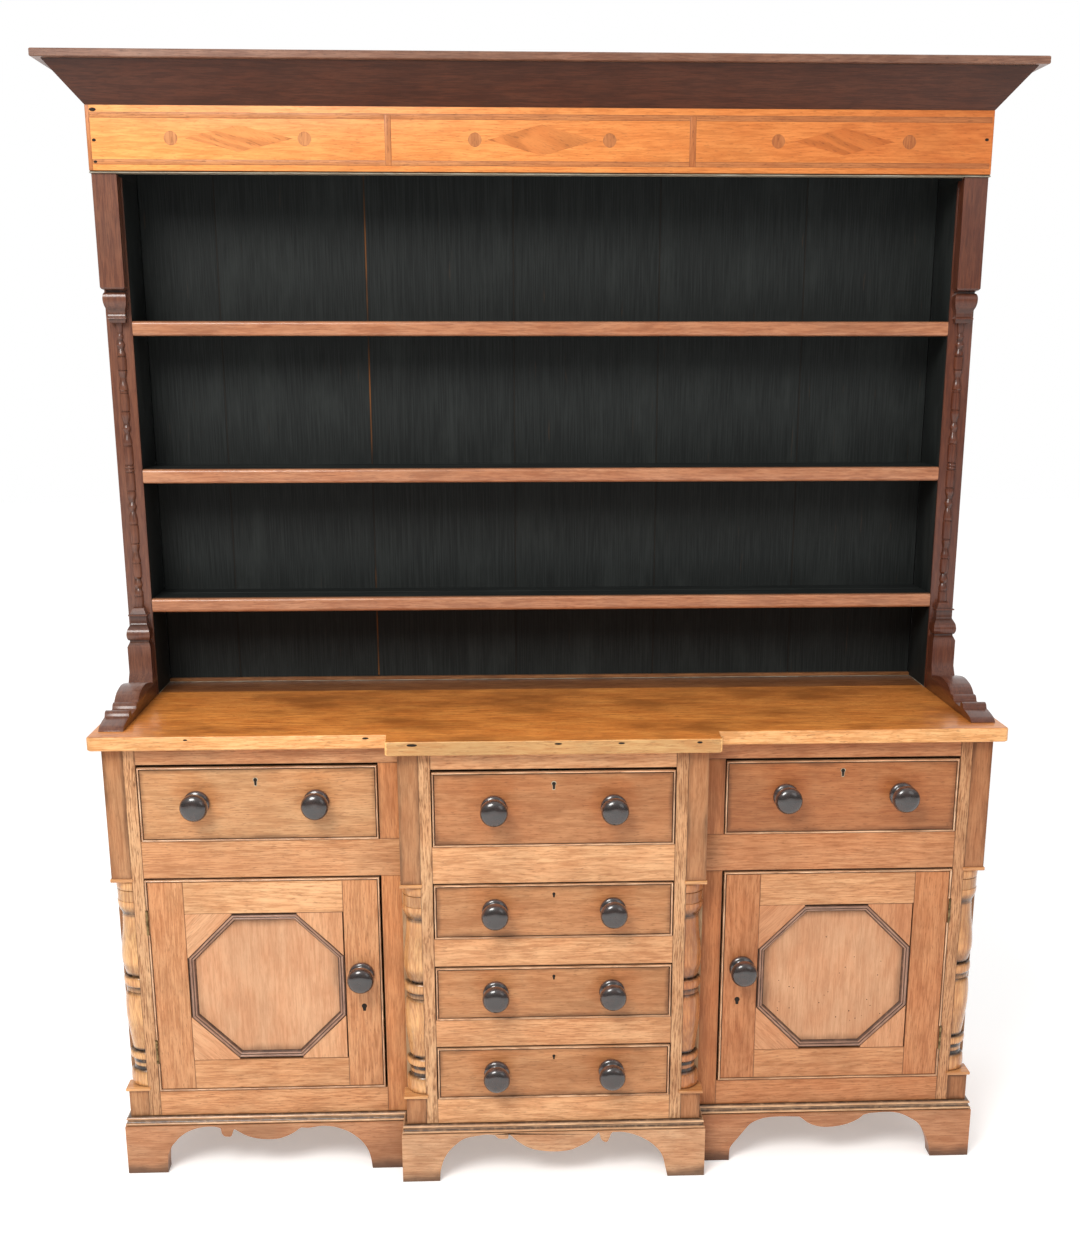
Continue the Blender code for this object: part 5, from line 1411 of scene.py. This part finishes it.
def octagon_holds(spot, centre_x, centre_z, apothem):
    """Whether a place lies inside an octagon."""
    x, z = abs(spot[0] - centre_x), abs(spot[1] - centre_z)
    return max(x, z, (x + z) / math.sqrt(2)) < apothem


# Rack

# Foot of the pilaster: height above the worktop, how far each side and the front are set in.
PILASTER_BASE = (
    ((30, 0.4, 0.4), (31, -1, -9)), ((36, -1, -9), (53.5, 0, 0)), ((106.5, 0, 0),),
    ((115.5, 4, 8), (119, 4, 8)),
    ((119.4, 2.2, 4.4), (123, 0.8, 1.6), (127.5, 0, 0), (133, 0, 0), (140, 1.2, 2.4),
     (146, 4, 8), (150, 6.2, 12.4), (153.5, 6.9, 13.8)), ((166, 6.9, 13.8), (167.5, 6.4, 13)),
    ((168, 4, 8), (170.5, 4, 8)), ((171, 7.3, 13), (182, 12.1, 20)))
# Head of the pilaster: distance below the frieze, how far each side and the front are set in.
PILASTER_HEAD = (
    ((266, 8, 22), (259.5, 6.5, 20)), ((259, 4.9, 15.3), (257.5, 4.9, 15.3), (254.5, 6.3, 18.3),
                                       (251, 6.9, 19.5)),
    ((248, 6.9, 19.4), (243, 5.8, 17.3), (236, 2.8, 12.3), (228, 1.2, 9.4), (220, 0.9, 9),
     (214.5, 1.8, 10.4), (211, 3.8, 13.4)),
    ((210.5, 6, 17), (208, 6, 17)), ((205, 2, 3), (202, 0, 0)), ((0, 0, 0),))
# Foot that the standard sends forward: distance in front of the shelves, height.
SCROLL_FOOT = (
    ((38, 35), (47, 35.4), (64, 38.6), (82, 41.6), (96, 43.8), (108, 45), (122, 45),
     (135, 43.8), (154, 40.7), (163, 38), (169, 35.9), (179, 30.3), (185, 25.5)),
    ((186.5, 24.5), (193, 26.5), (199, 25), (203.5, 21.5), (206, 16.5)),
    ((208, 16), (230, 15), (249, 15)),
    ((250.5, 21), (254, 24.8), (261, 25.2), (267, 22.5), (270, 17.5)),
    ((271.5, 15.5), (285, 13.8), (298, 12), (315.5, 8.6)), ((322, 5.5), (326.5, 1.5), (326.5, 0)))
# Split turning, from its top down: distance, radius.
TURNING_RUNS = (
    ((0, 7.6), (8, 7.0), (20, 5.4)), ((22.5, 5.6), (26, 6.9), (29.5, 5.6)),
    ((33.4, 5.2), (37.5, 7.4), (41.5, 8.5), (45.5, 7.2)),
    ((50, 5.9), (54, 7.2), (58, 8.4), (62, 8.7)), ((63.2, 7.3), (64.6, 7.3)),
    ((65.6, 8.9), (77, 9.1), (88.4, 8.9)), ((89, 7.6), (90.4, 7.6)),
    ((91.4, 9.0), (97, 7.6), (104, 6.2), (111, 6.8), (119, 8.6), (126, 9.0)),
    ((128, 7.7), (129, 7.7)), ((130, 8.6), (131.5, 8.6)), ((132.3, 7.7), (133, 7.7)),
    ((134, 8.9), (150, 9.2), (165.5, 8.9)), ((166.6, 7.6), (168, 7.6)),
    ((169, 8.8), (175, 8.9), (183, 7.6), (190, 5.8)), ((194, 6.6), (199.4, 8.3), (205, 6.6)),
    ((210, 5.6), (216, 7.0), (224, 8.8), (231, 8.6)), ((232.6, 7.4), (233.8, 7.4)),
    ((235, 8.9), (252, 9.2), (268.4, 8.9)), ((269.6, 7.5), (271, 7.5)),
    ((272, 8.7), (273.8, 9.1), (275.6, 8.7)), ((276.4, 7.6), (277.4, 7.6)),
    ((278.4, 8.7), (280.3, 9.1), (282.2, 8.7)), ((283, 7.5), (284.4, 7.5)),
    ((285.6, 8.9), (302, 9.2), (318.4, 8.9)), ((319.6, 7.5), (320.8, 7.5)),
    ((322, 8.7), (329, 8.9), (336, 7.0), (341.8, 5.7)), ((345.5, 7.0), (350.7, 8.6), (356, 7.0)),
    ((361, 5.7), (368, 7.6), (378, 8.9), (384, 8.8)), ((385.4, 7.5), (386.6, 7.5)),
    ((387.6, 8.9), (404, 9.2), (421.6, 8.9)), ((422.8, 7.6), (424.2, 7.6)),
    ((425.4, 9.0), (432, 7.8), (440, 6.2), (447, 6.8), (455, 8.7), (461, 9.0)),
    ((462.4, 7.6), (463.8, 7.6)), ((465, 8.9), (477, 9.1), (489.5, 8.9)),
    ((494, 5.9), (500, 7.6), (506, 8.6), (511, 7.0)),
    ((513.5, 6.2), (518, 7.8), (523, 8.8), (527.6, 8.6)), ((528.8, 7.5), (530, 7.5)),
    ((531.2, 8.8), (540, 9.0), (552, 8.8)))


def square_stack(levels, centre_x, front_y, back_y):
    """Skin the squares of a pilaster, given as height, side inset and front inset."""
    rings = []
    for height, side_inset, front_inset in levels:
        half = PILASTER_WIDTH / 2 - side_inset * MM
        front = front_y + front_inset * MM
        rings.append([(centre_x - half, front, height), (centre_x + half, front, height),
                      (centre_x + half, back_y, height), (centre_x - half, back_y, height)])
    depths = hollows([(height, -side_inset) for height, side_inset, _ in levels], depth=5)
    return soil_and_shade(loft(rings), lambda i: depths[i // 4])


LINING_BOARD = 0.0014  # painted face of a standard, inside the rack
NOTCH = 0.004  # how far below the frieze a standard is cut back for it
STRIP = 0.004  # unpainted strip along the front of a standard


def build_standard(name, side):
    """An end of the rack: side board, pilaster, split turning and scroll foot."""
    floor, frieze_z = TOP.z1 + GAP, BAND.z0
    front = SHELF.y0
    box = span(f"{name}_standard")
    inner_x, outer_x = SHELF.x1 + GAP, abs(box.x0 if side < 0 else box.x1)
    middle = side * (inner_x + outer_x) / 2
    piece = Piece(f"{name}_standard_boards")
    # the right standard's painted shade is stronger still
    shade = 1.8 * PAINTED_SIDE_SHADE[side]
    looks = dict(edges=CLEAN, tone=shade, spread=0.1)
    frieze_back = FRIEZE_FACE + FRIEZE_THICK + GAP
    board_width = mirrored(inner_x + LINING_BOARD, outer_x, side)
    lining = mirrored(inner_x, inner_x + LINING_BOARD - GAP / 3, side)
    notch, strip = frieze_z - NOTCH, front + STRIP
    for y0, z0, z1 in ((front, floor, notch), (frieze_back, notch, BAND.z1)):
        piece.add(board(*board_width, y0, BACK_Y, z0, z1), "rack_oak", Z, X * side, **looks)
    for y0, y1, z0, z1, finish in (
            (front, strip, floor, notch - SKIN, "rack_oak"),
            (strip, BACK_Y, floor, notch - SKIN, "black_paint"),
            (frieze_back, BACK_Y, notch - SKIN, BAND.z1, "black_paint")):
        piece.add(board(*lining, y0, y1, z0, z1, arris=2 * HAIR), finish, Z, X * side, **looks)
    under = mirrored(inner_x, BAND.x1 - CORNICE_THICK - GAP, side)
    piece.add(board(*under, frieze_back, BACK_Y, BAND.z1, CORNICE.z1 - SLAB_THICK - GAP),
              "rack_oak", Z, X * side, **looks)
    base = [(TOP.z1 + rise * MM, *inset) for rise, *inset in smooth_runs(PILASTER_BASE, 4)]
    head = [(frieze_z - GAP - drop * MM, *inset)
            for drop, *inset in smooth_runs(PILASTER_HEAD, 4)]
    for levels in (base, head):
        body = square_stack(levels, middle, front - PILASTER_PROUD, strip)
        piece.add(body, "rack_oak", Z, Y, **looks)
    curve = smooth_runs(TURNING_RUNS, 4)
    low, high = base[-1][0] - MM, head[0][0] + MM
    stretch = (high - low) / curve[-1][0]
    profile = [(radius * MM, -distance * stretch) for distance, radius in curve]
    body = turned(profile, 24, math.pi, math.pi)
    moved(body, Matrix.Translation((middle, front + 0.0005, high)))
    piece.add(body, "rack_oak", Z, Y, **looks)
    foot = [(strip, floor), (strip, TOP.z1 + SCROLL_FOOT[0][0][1] * MM)]
    foot += [(front - reach * MM, TOP.z1 + max(rise * MM, GAP))
             for reach, rise in smooth_runs(SCROLL_FOOT, 4)]
    body = cut_out(foot, 0, middle - PILASTER_WIDTH / 2, middle + PILASTER_WIDTH / 2, arris=0.0008)
    piece.add(body, "rack_oak", Y, X * side, **looks)
    # a pale strip at the foot of the lining: a painted highlight
    joint = mirrored(inner_x - 0.0006, inner_x + 0.001, side)
    piece.add(board(*joint, front + 0.001, BACKING.y0 - 0.001, floor, floor + 0.0014), "pale_bead",
              Y, X * side, tone=-0.6)
    piece.done(replaces=[f"{name}_standard"])


PLATE_GROOVE = 0.065  # from the back of the rack to the groove that plates stand in
# Tones of each shelf's nosing at its left and its right end
# each nosing darkens towards its right end: painted shade of the light that falls from the left
NOSING_TONES = {1: (0.35, 0.1), 2: (0.1, -0.15), 3: (0.0, -0.3)}


def build_shelf(number):
    """A painted shelf with a plate groove, and a rounded oak nosing along its front."""
    shelf = span(f"shelf_{number}")
    nosing, radius = 0.014, 0.0065
    piece = Piece(f"shelf_{number}_boards")
    groove_y, groove = BACKING.y1 - PLATE_GROOVE, 0.0026
    outline = [(shelf.y0 + nosing, shelf.z0), (shelf.y1, shelf.z0), (shelf.y1, shelf.z1),
               (groove_y + groove, shelf.z1)]
    outline += [(groove_y + groove * math.cos(turn), shelf.z1 - groove * math.sin(turn))
                for turn in (math.pi * i / 8 for i in range(1, 8))]
    outline += [(groove_y - groove, shelf.z1), (shelf.y0 + nosing, shelf.z1)]
    piece.add(cut_out(outline, 0, shelf.x0, shelf.x1), "black_paint", X, Z)
    outline = [(shelf.y0 + nosing - GAP, shelf.z0), (shelf.y0 + nosing - GAP, shelf.z1)]
    for corner_z, start in ((shelf.z1 - radius, math.pi / 2), (shelf.z0 + radius, math.pi)):
        outline += [(shelf.y0 + radius * (1 + math.cos(turn)), corner_z + radius * math.sin(turn))
                    for turn in (start + math.pi / 2 * i / 8 for i in range(9))]
    piece.add(cut_out(outline, 0, shelf.x0, shelf.x1), "shelf_oak", X, Y,
              tone=NOSING_TONES[number], spread=0, edges=(True, False))
    piece.done(replaces=[f"shelf_{number}"])


BATTEN_PROUD = 0.010  # how far the sole batten stands in front of the back boards
BATTEN_HEIGHT = 0.008
BACK_JOINTS = (-0.650, -0.354, -0.058, 0.238, 0.534)
JOINT_WEAR = (-0.50, 0.0, -0.75, -0.65, -0.60)  # how much brown shows in each


def build_rack_back():
    """Upright boards in old black paint, with a groove at each joint and a sole batten."""
    piece = Piece("rack_back_boards")
    groove = 0.002
    face = BACKING.y0 + BATTEN_PROUD
    low, high = BACKING.z0, BACKING.z1
    edges = (BACKING.x0, *BACK_JOINTS, BACKING.x1)
    for x0, x1 in zip(edges, edges[1:]):
        plan = [(x0, BACK_Y), (x0, face + groove), (x0 + groove, face), (x1 - groove, face),
                (x1, face + groove), (x1, BACK_Y)]
        piece.add(cut_out(plan, 2, low, high), "black_paint", Z, Y)
    for x, wear in zip(BACK_JOINTS, JOINT_WEAR):
        strip = [(x - 0.0015, face + 0.0006), (x + 0.0015, face + 0.0006), (x, face + groove)]
        piece.add(cut_out(strip, 2, low + 0.01, high - 0.001), "worn_joint", Z, Y, tone=wear,
                  spread=0)
    batten = board(BACKING.x0, BACKING.x1, BACKING.y0, face + 0.004, low,
                   TOP.z1 + BATTEN_HEIGHT, arris=0.002, steps=3)
    piece.add(batten, "shaded_oak", X, Z, tone=0.9, edges=CLEAN)
    # a pale strip along the batten's foot: a painted highlight
    highlight_strip = board(BACKING.x0, BACKING.x1, BACKING.y0 - 0.0008, BACKING.y0 + 0.001, low,
                 TOP.z1 + 0.0016, arris=0.0003)
    piece.add(highlight_strip, "pale_bead", X, Z, edges=CLEAN)
    piece.done(replaces=["rack_back"])


# Inlay of the frieze: places along it, for the lozenges with width and height.
DIVIDERS = (-0.294, 0.278)
DOTS = (-0.696, -0.449, -0.132, 0.121, 0.440, 0.690)
LOZENGES = ((-0.570, 0.200, 0.046), (-0.006, 0.205, 0.054), (0.566, 0.190, 0.048))
INLAY_Z = 1.9640
BAND_LOW, BAND_TOP = (1.9180, 1.9270), (1.9985, 2.0085)
DIVIDER_WIDTH = 0.012
DOT_RADIUS = 0.0125
INLAY_PROUD, INLAY_SUNK = 0.00025, 0.002
LOZENGE_GRAIN = Vector((1, 0, -0.35)).normalized()
# Nails in the frieze: place, half width and half height of the mark.
NAILS = ((BAND.x0 + 0.0145, 2.0125, 0.0062, 0.0032), (BAND.x0 + 0.013, 1.9600, 0.0038, 0.0026),
         (BAND.x0 + 0.013, 1.9225, 0.0034, 0.0022), (BAND.x1 - 0.012, 1.9690, 0.0036, 0.0026))


def build_frieze():
    """The frieze: a board with inlaid bands, dividers, dots and lozenges, a bead and nails."""
    piece = Piece("frieze_boards")
    face, back = FRIEZE_FACE, FRIEZE_FACE + FRIEZE_THICK
    bead, quirk = 0.0025, 0.0018

    def shaded_to_right(x, more=0.0):
        """The frieze is painted darker towards the right: painted shade of the light that falls
        from the left.
        """
        return 0.1 - more - 1.5 * (x - BAND.x0) / (BAND.x1 - BAND.x0)

    ledge = BAND.z0 + bead + quirk
    piece.add(board(BAND.x0, BAND.x1, face, back, ledge, BAND.z1), "frieze_oak", X, Y, spread=0,
              tone=(shaded_to_right(BAND.x0), shaded_to_right(BAND.x1)))
    # a dark strip in the quirk above the bead: painted shadow
    piece.add(board(BAND.x0, BAND.x1, face + 0.003, back, BAND.z0 + bead, ledge - GAP),
              "groove_dirt", X, Y, edges=CLEAN)
    proud, sunk = face - INLAY_PROUD, face + INLAY_SUNK
    for z0, z1 in (BAND_LOW, BAND_TOP):
        body = board(BAND.x0 + 0.008, BAND.x1 - 0.004, proud, sunk, z0, z1, arris=HAIR)
        piece.add(body, "inlay_band", X, Y, spread=0, tone=(shaded_to_right(BAND.x0), shaded_to_right(BAND.x1, -0.3)))
    for x in DIVIDERS:
        body = board(x - DIVIDER_WIDTH / 2, x + DIVIDER_WIDTH / 2, proud - 0.0001, sunk,
                     BAND_LOW[0], BAND_TOP[1] - 0.002, arris=HAIR)
        piece.add(body, "inlay_band", Z, Y, tone=shaded_to_right(x, 0.1), spread=0)
    piece.add(board(BAND.x0 + 0.0005, BAND.x0 + 0.0075, proud - 0.0001, sunk, ledge,
                    BAND.z1 - 0.0005, arris=HAIR), "inlay_band", Z, Y, tone=-0.6)
    for x, width, height in LOZENGES:
        piece.add(cut_out(lozenge(x, INLAY_Z, width, height), 1, proud, sunk), "inlay_wood",
                  LOZENGE_GRAIN, Y, tone=shaded_to_right(x, 0.15), spread=0.1)
    for x in DOTS:
        piece.add(cut_out(disc(x, INLAY_Z, DOT_RADIUS), 1, proud, sunk), "inlay_band", Z, Y,
                  tone=shaded_to_right(x, -0.1))
    # the bead's pale grey is a painted highlight on a dark bead
    middle = BAND.z0 + bead / 2
    curve = [(face - FRIEZE_BEAD_PROUD * math.sin(turn), middle - bead / 2 * math.cos(turn))
             for turn in (math.pi * i / 10 for i in range(11))]
    outline = [(back, BAND.z0)] + curve + [(back, BAND.z0 + bead - GAP)]
    piece.add(cut_out(outline, 0, BAND.x0, BAND.x1), "pale_bead", X, Y, edges=CLEAN)
    for *place, wide, tall in NAILS:
        piece.add(cut_out(disc(*place, wide, tall, 16), 1, proud - 0.0003, sunk), "dark_iron")
    piece.done(replaces=["frieze"])


def rack_path(proud=0.0):
    """The frieze's faces in plan, from the back left corner round to the back right."""
    right = [(BAND.x1 + proud, FRIEZE_FACE - proud), (BAND.x1 + proud, BACK_Y)]
    return [(-x, y) for x, y in reversed(right)] + right


def build_cornice():
    """The sloping cornice boards, mitred at the corners, under a slab with a moulded edge."""
    piece = Piece("cornice_boards")
    slab_z = CORNICE.z1 - SLAB_THICK
    thick = CORNICE_THICK
    slope = [(-thick, BAND.z1 + GAP), (0.0, BAND.z1 + GAP), (0.0012, BAND.z1 + 0.0016),
             (CORNICE_REACH, slab_z - GAP), (CORNICE_REACH - thick, slab_z - GAP)]
    piece.add_lengths(mitred(rack_path, slope, level, closed=False), "cornice_oak", Z,
                      spread=0.1, edges=(True, False))
    reach = CORNICE_REACH + SLAB_LIP
    low, high = SLAB_EASES
    edge = [(-thick, slab_z), (reach - low, slab_z), (reach, slab_z + low),
            (reach, CORNICE.z1 - high), (reach - high, CORNICE.z1), (-thick, CORNICE.z1)]
    piece.add_lengths(mitred(rack_path, edge, level, closed=False), "slab_oak", Y, spread=0.1,
                      edges=CLEAN)
    cover = board(BAND.x0 + thick, BAND.x1 - thick, FRIEZE_FACE + thick, BACK_Y, slab_z + 0.001,
                  CORNICE.z1 - 0.001)
    piece.add(cover, "raw_oak", X, Z)
    piece.done(replaces=["cornice"])


# Studio

CAMERA_X, CAMERA_HEIGHT = -0.12377, 1.5929
CAMERA_TURN = (math.pi / 2 - 0.28218, 0.0, -0.0442)
PICTURE_HEIGHT = 1244
FOCAL_PIXELS = 1571.12
OPTICAL_CENTRE = (554.10, 801.79)
PICTURE_CENTRE = (540, 622)
HORIZON_LIGHT, ZENITH_LIGHT, BACKDROP_LIGHT = 0.25, 0.95, 0.85
FLOOR_REACH, FLOOR_DROP = 14.0, 0.0006
# Lamps: name, place, size across in metres, power in watts. Both look at LAMP_AIM.
LAMPS = (("key_lamp", (-1.5, -3.0, 3.7), 1.9, 150.0), ("fill_lamp", (2.6, -3.4, 2.6), 2.0, 12.0))
LAMP_AIM = Vector((0, 0, 0.9))


def build_stage():
    """A pale floor, soft light all round, two large lamps in front, and the camera."""
    scene = bpy.context.scene
    colours = scene.dresser_colours
    mesh = bpy.data.meshes.new("studio_floor")
    corners = ((-1, -1), (1, -1), (1, 1), (-1, 1))
    mesh.from_pydata([(FLOOR_REACH * x, FLOOR_REACH * y, -FLOOR_DROP) for x, y in corners],
                     [], [(0, 1, 2, 3)])
    floor = bpy.data.objects.new("studio_floor", mesh)
    mesh.materials.append(pale_floor("pale_floor"))
    scene.collection.objects.link(floor)
    floor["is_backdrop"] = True

    world = bpy.data.worlds.new("studio_air")
    world.use_nodes = True
    air = Nodes(world.node_tree)
    _, backwards, upwards = air.split(air.add("TexCoord", {}, "Generated"))
    glow = air.step(upwards, 0.0, 0.9, HORIZON_LIGHT, ZENITH_LIGHT)
    glow = air.most(glow, air.step(backwards, 0.1, 0.7, 0.0, BACKDROP_LIGHT))
    seen = air.add("LightPath", {}, "Is Camera Ray")
    background = air.nodes["Background"]
    background.inputs["Color"].default_value = (*colours.backdrop, 1.0)
    air.put(background.inputs["Strength"], air.most(glow, seen))
    scene.world = world

    for (name, place, size, power), colour in zip(LAMPS, (colours.key, (1.0, 1.0, 1.0))):
        lamp = bpy.data.lights.new(name, "AREA")
        lamp.shape = "DISK"
        lamp.size = size
        lamp.energy = power
        lamp.color = colour
        thing = bpy.data.objects.new(name, lamp)
        thing.location = place
        aim = LAMP_AIM - Vector(place)
        thing.rotation_euler = aim.to_track_quat("-Z", "Y").to_euler()
        scene.collection.objects.link(thing)

    lens = bpy.data.cameras.new("photo_camera")
    lens.sensor_width = 36.0
    lens.lens = FOCAL_PIXELS * lens.sensor_width / PICTURE_HEIGHT
    lens.shift_x = (PICTURE_CENTRE[0] - OPTICAL_CENTRE[0]) / PICTURE_HEIGHT
    lens.shift_y = (OPTICAL_CENTRE[1] - PICTURE_CENTRE[1]) / PICTURE_HEIGHT
    lens.clip_end = 100.0
    camera = bpy.data.objects.new("photo_camera", lens)
    camera.location = (CAMERA_X, -sizes().camera_distance, CAMERA_HEIGHT)
    camera.rotation_euler = CAMERA_TURN
    scene.collection.objects.link(camera)
    scene.camera = camera
    scene.view_settings.view_transform = "Standard"


# Operators: one for each piece or group of like pieces, and one for the stage

class DRESSER_OT_worktop(bpy.types.Operator):
    """Build the worktop"""
    bl_idname = "dresser.worktop"
    bl_label = "Worktop"

    def execute(self, context):
        build_worktop()
        return {"FINISHED"}


class DRESSER_OT_carcass(bpy.types.Operator):
    """Build the ends and the back of the base, and finish its inner boards"""
    bl_idname = "dresser.carcass"
    bl_label = "Carcass"

    def execute(self, context):
        build_ends()
        return {"FINISHED"}


class DRESSER_OT_face_frames(bpy.types.Operator):
    """Build the frames round the drawers and doors"""
    bl_idname = "dresser.face_frames"
    bl_label = "Face frames"

    def execute(self, context):
        build_side_frame("left", -1)
        build_side_frame("right", 1)
        build_centre_frame()
        return {"FINISHED"}


class DRESSER_OT_columns(bpy.types.Operator):
    """Build the four quarter columns"""
    bl_idname = "dresser.columns"
    bl_label = "Columns"

    def execute(self, context):
        build_columns()
        return {"FINISHED"}


class DRESSER_OT_plinth(bpy.types.Operator):
    """Build the plinth with its aprons and band"""
    bl_idname = "dresser.plinth"
    bl_label = "Plinth"

    def execute(self, context):
        build_plinth()
        return {"FINISHED"}


class DRESSER_OT_drawers(bpy.types.Operator):
    """Build the six drawers"""
    bl_idname = "dresser.drawers"
    bl_label = "Drawers"

    def execute(self, context):
        for name in DRAWERS:
            build_drawer(name)
        return {"FINISHED"}


class DRESSER_OT_doors(bpy.types.Operator):
    """Build the two cupboard doors"""
    bl_idname = "dresser.doors"
    bl_label = "Doors"

    def execute(self, context):
        build_door("left_door", -1)
        build_door("right_door", 1)
        return {"FINISHED"}


class DRESSER_OT_standards(bpy.types.Operator):
    """Build the two ends of the rack"""
    bl_idname = "dresser.standards"
    bl_label = "Rack standards"

    def execute(self, context):
        build_standard("left", -1)
        build_standard("right", 1)
        return {"FINISHED"}


class DRESSER_OT_shelves(bpy.types.Operator):
    """Build the three shelves and the boards behind them"""
    bl_idname = "dresser.shelves"
    bl_label = "Shelves and back"

    def execute(self, context):
        for number in (1, 2, 3):
            build_shelf(number)
        build_rack_back()
        return {"FINISHED"}


class DRESSER_OT_frieze(bpy.types.Operator):
    """Build the inlaid frieze"""
    bl_idname = "dresser.frieze"
    bl_label = "Frieze"

    def execute(self, context):
        build_frieze()
        return {"FINISHED"}


class DRESSER_OT_cornice(bpy.types.Operator):
    """Build the cornice"""
    bl_idname = "dresser.cornice"
    bl_label = "Cornice"

    def execute(self, context):
        build_cornice()
        return {"FINISHED"}


class DRESSER_OT_stage(bpy.types.Operator):
    """Set up the floor, the lights and the camera"""
    bl_idname = "dresser.stage"
    bl_label = "Stage"

    def execute(self, context):
        build_stage()
        return {"FINISHED"}


OPERATORS = (DRESSER_OT_stage, DRESSER_OT_worktop, DRESSER_OT_carcass, DRESSER_OT_face_frames,
             DRESSER_OT_columns, DRESSER_OT_plinth, DRESSER_OT_drawers, DRESSER_OT_doors,
             DRESSER_OT_standards, DRESSER_OT_shelves, DRESSER_OT_frieze, DRESSER_OT_cornice)


class DRESSER_PT_pieces(bpy.types.Panel):
    """Lists the dresser's pieces, sizes and colours"""
    bl_idname = "DRESSER_PT_pieces"
    bl_label = "Kitchen dresser"
    bl_space_type = "VIEW_3D"
    bl_region_type = "UI"
    bl_category = "Dresser"

    def draw(self, context):
        for group in (context.scene.dresser_sizes, context.scene.dresser_colours):
            for name in group.__annotations__:
                self.layout.prop(group, name)
        for operator in OPERATORS:
            self.layout.operator(operator.bl_idname)


CLASSES = (DresserSizes, DresserColours, *OPERATORS, DRESSER_PT_pieces)


def register():
    for item in CLASSES:
        bpy.utils.register_class(item)
    bpy.types.Scene.dresser_sizes = bpy.props.PointerProperty(type=DresserSizes)
    bpy.types.Scene.dresser_colours = bpy.props.PointerProperty(type=DresserColours)


def unregister():
    del bpy.types.Scene.dresser_colours
    del bpy.types.Scene.dresser_sizes
    for item in reversed(CLASSES):
        bpy.utils.unregister_class(item)


def main():
    register()
    for operator in OPERATORS:
        group, name = operator.bl_idname.split(".")
        getattr(getattr(bpy.ops, group), name)()
    boxes = {"cad": CAD_BOX, "visual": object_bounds()}
    plain = {key: [list(corner) for corner in box] for key, box in boxes.items()}


if __name__ == "__main__":
    main()
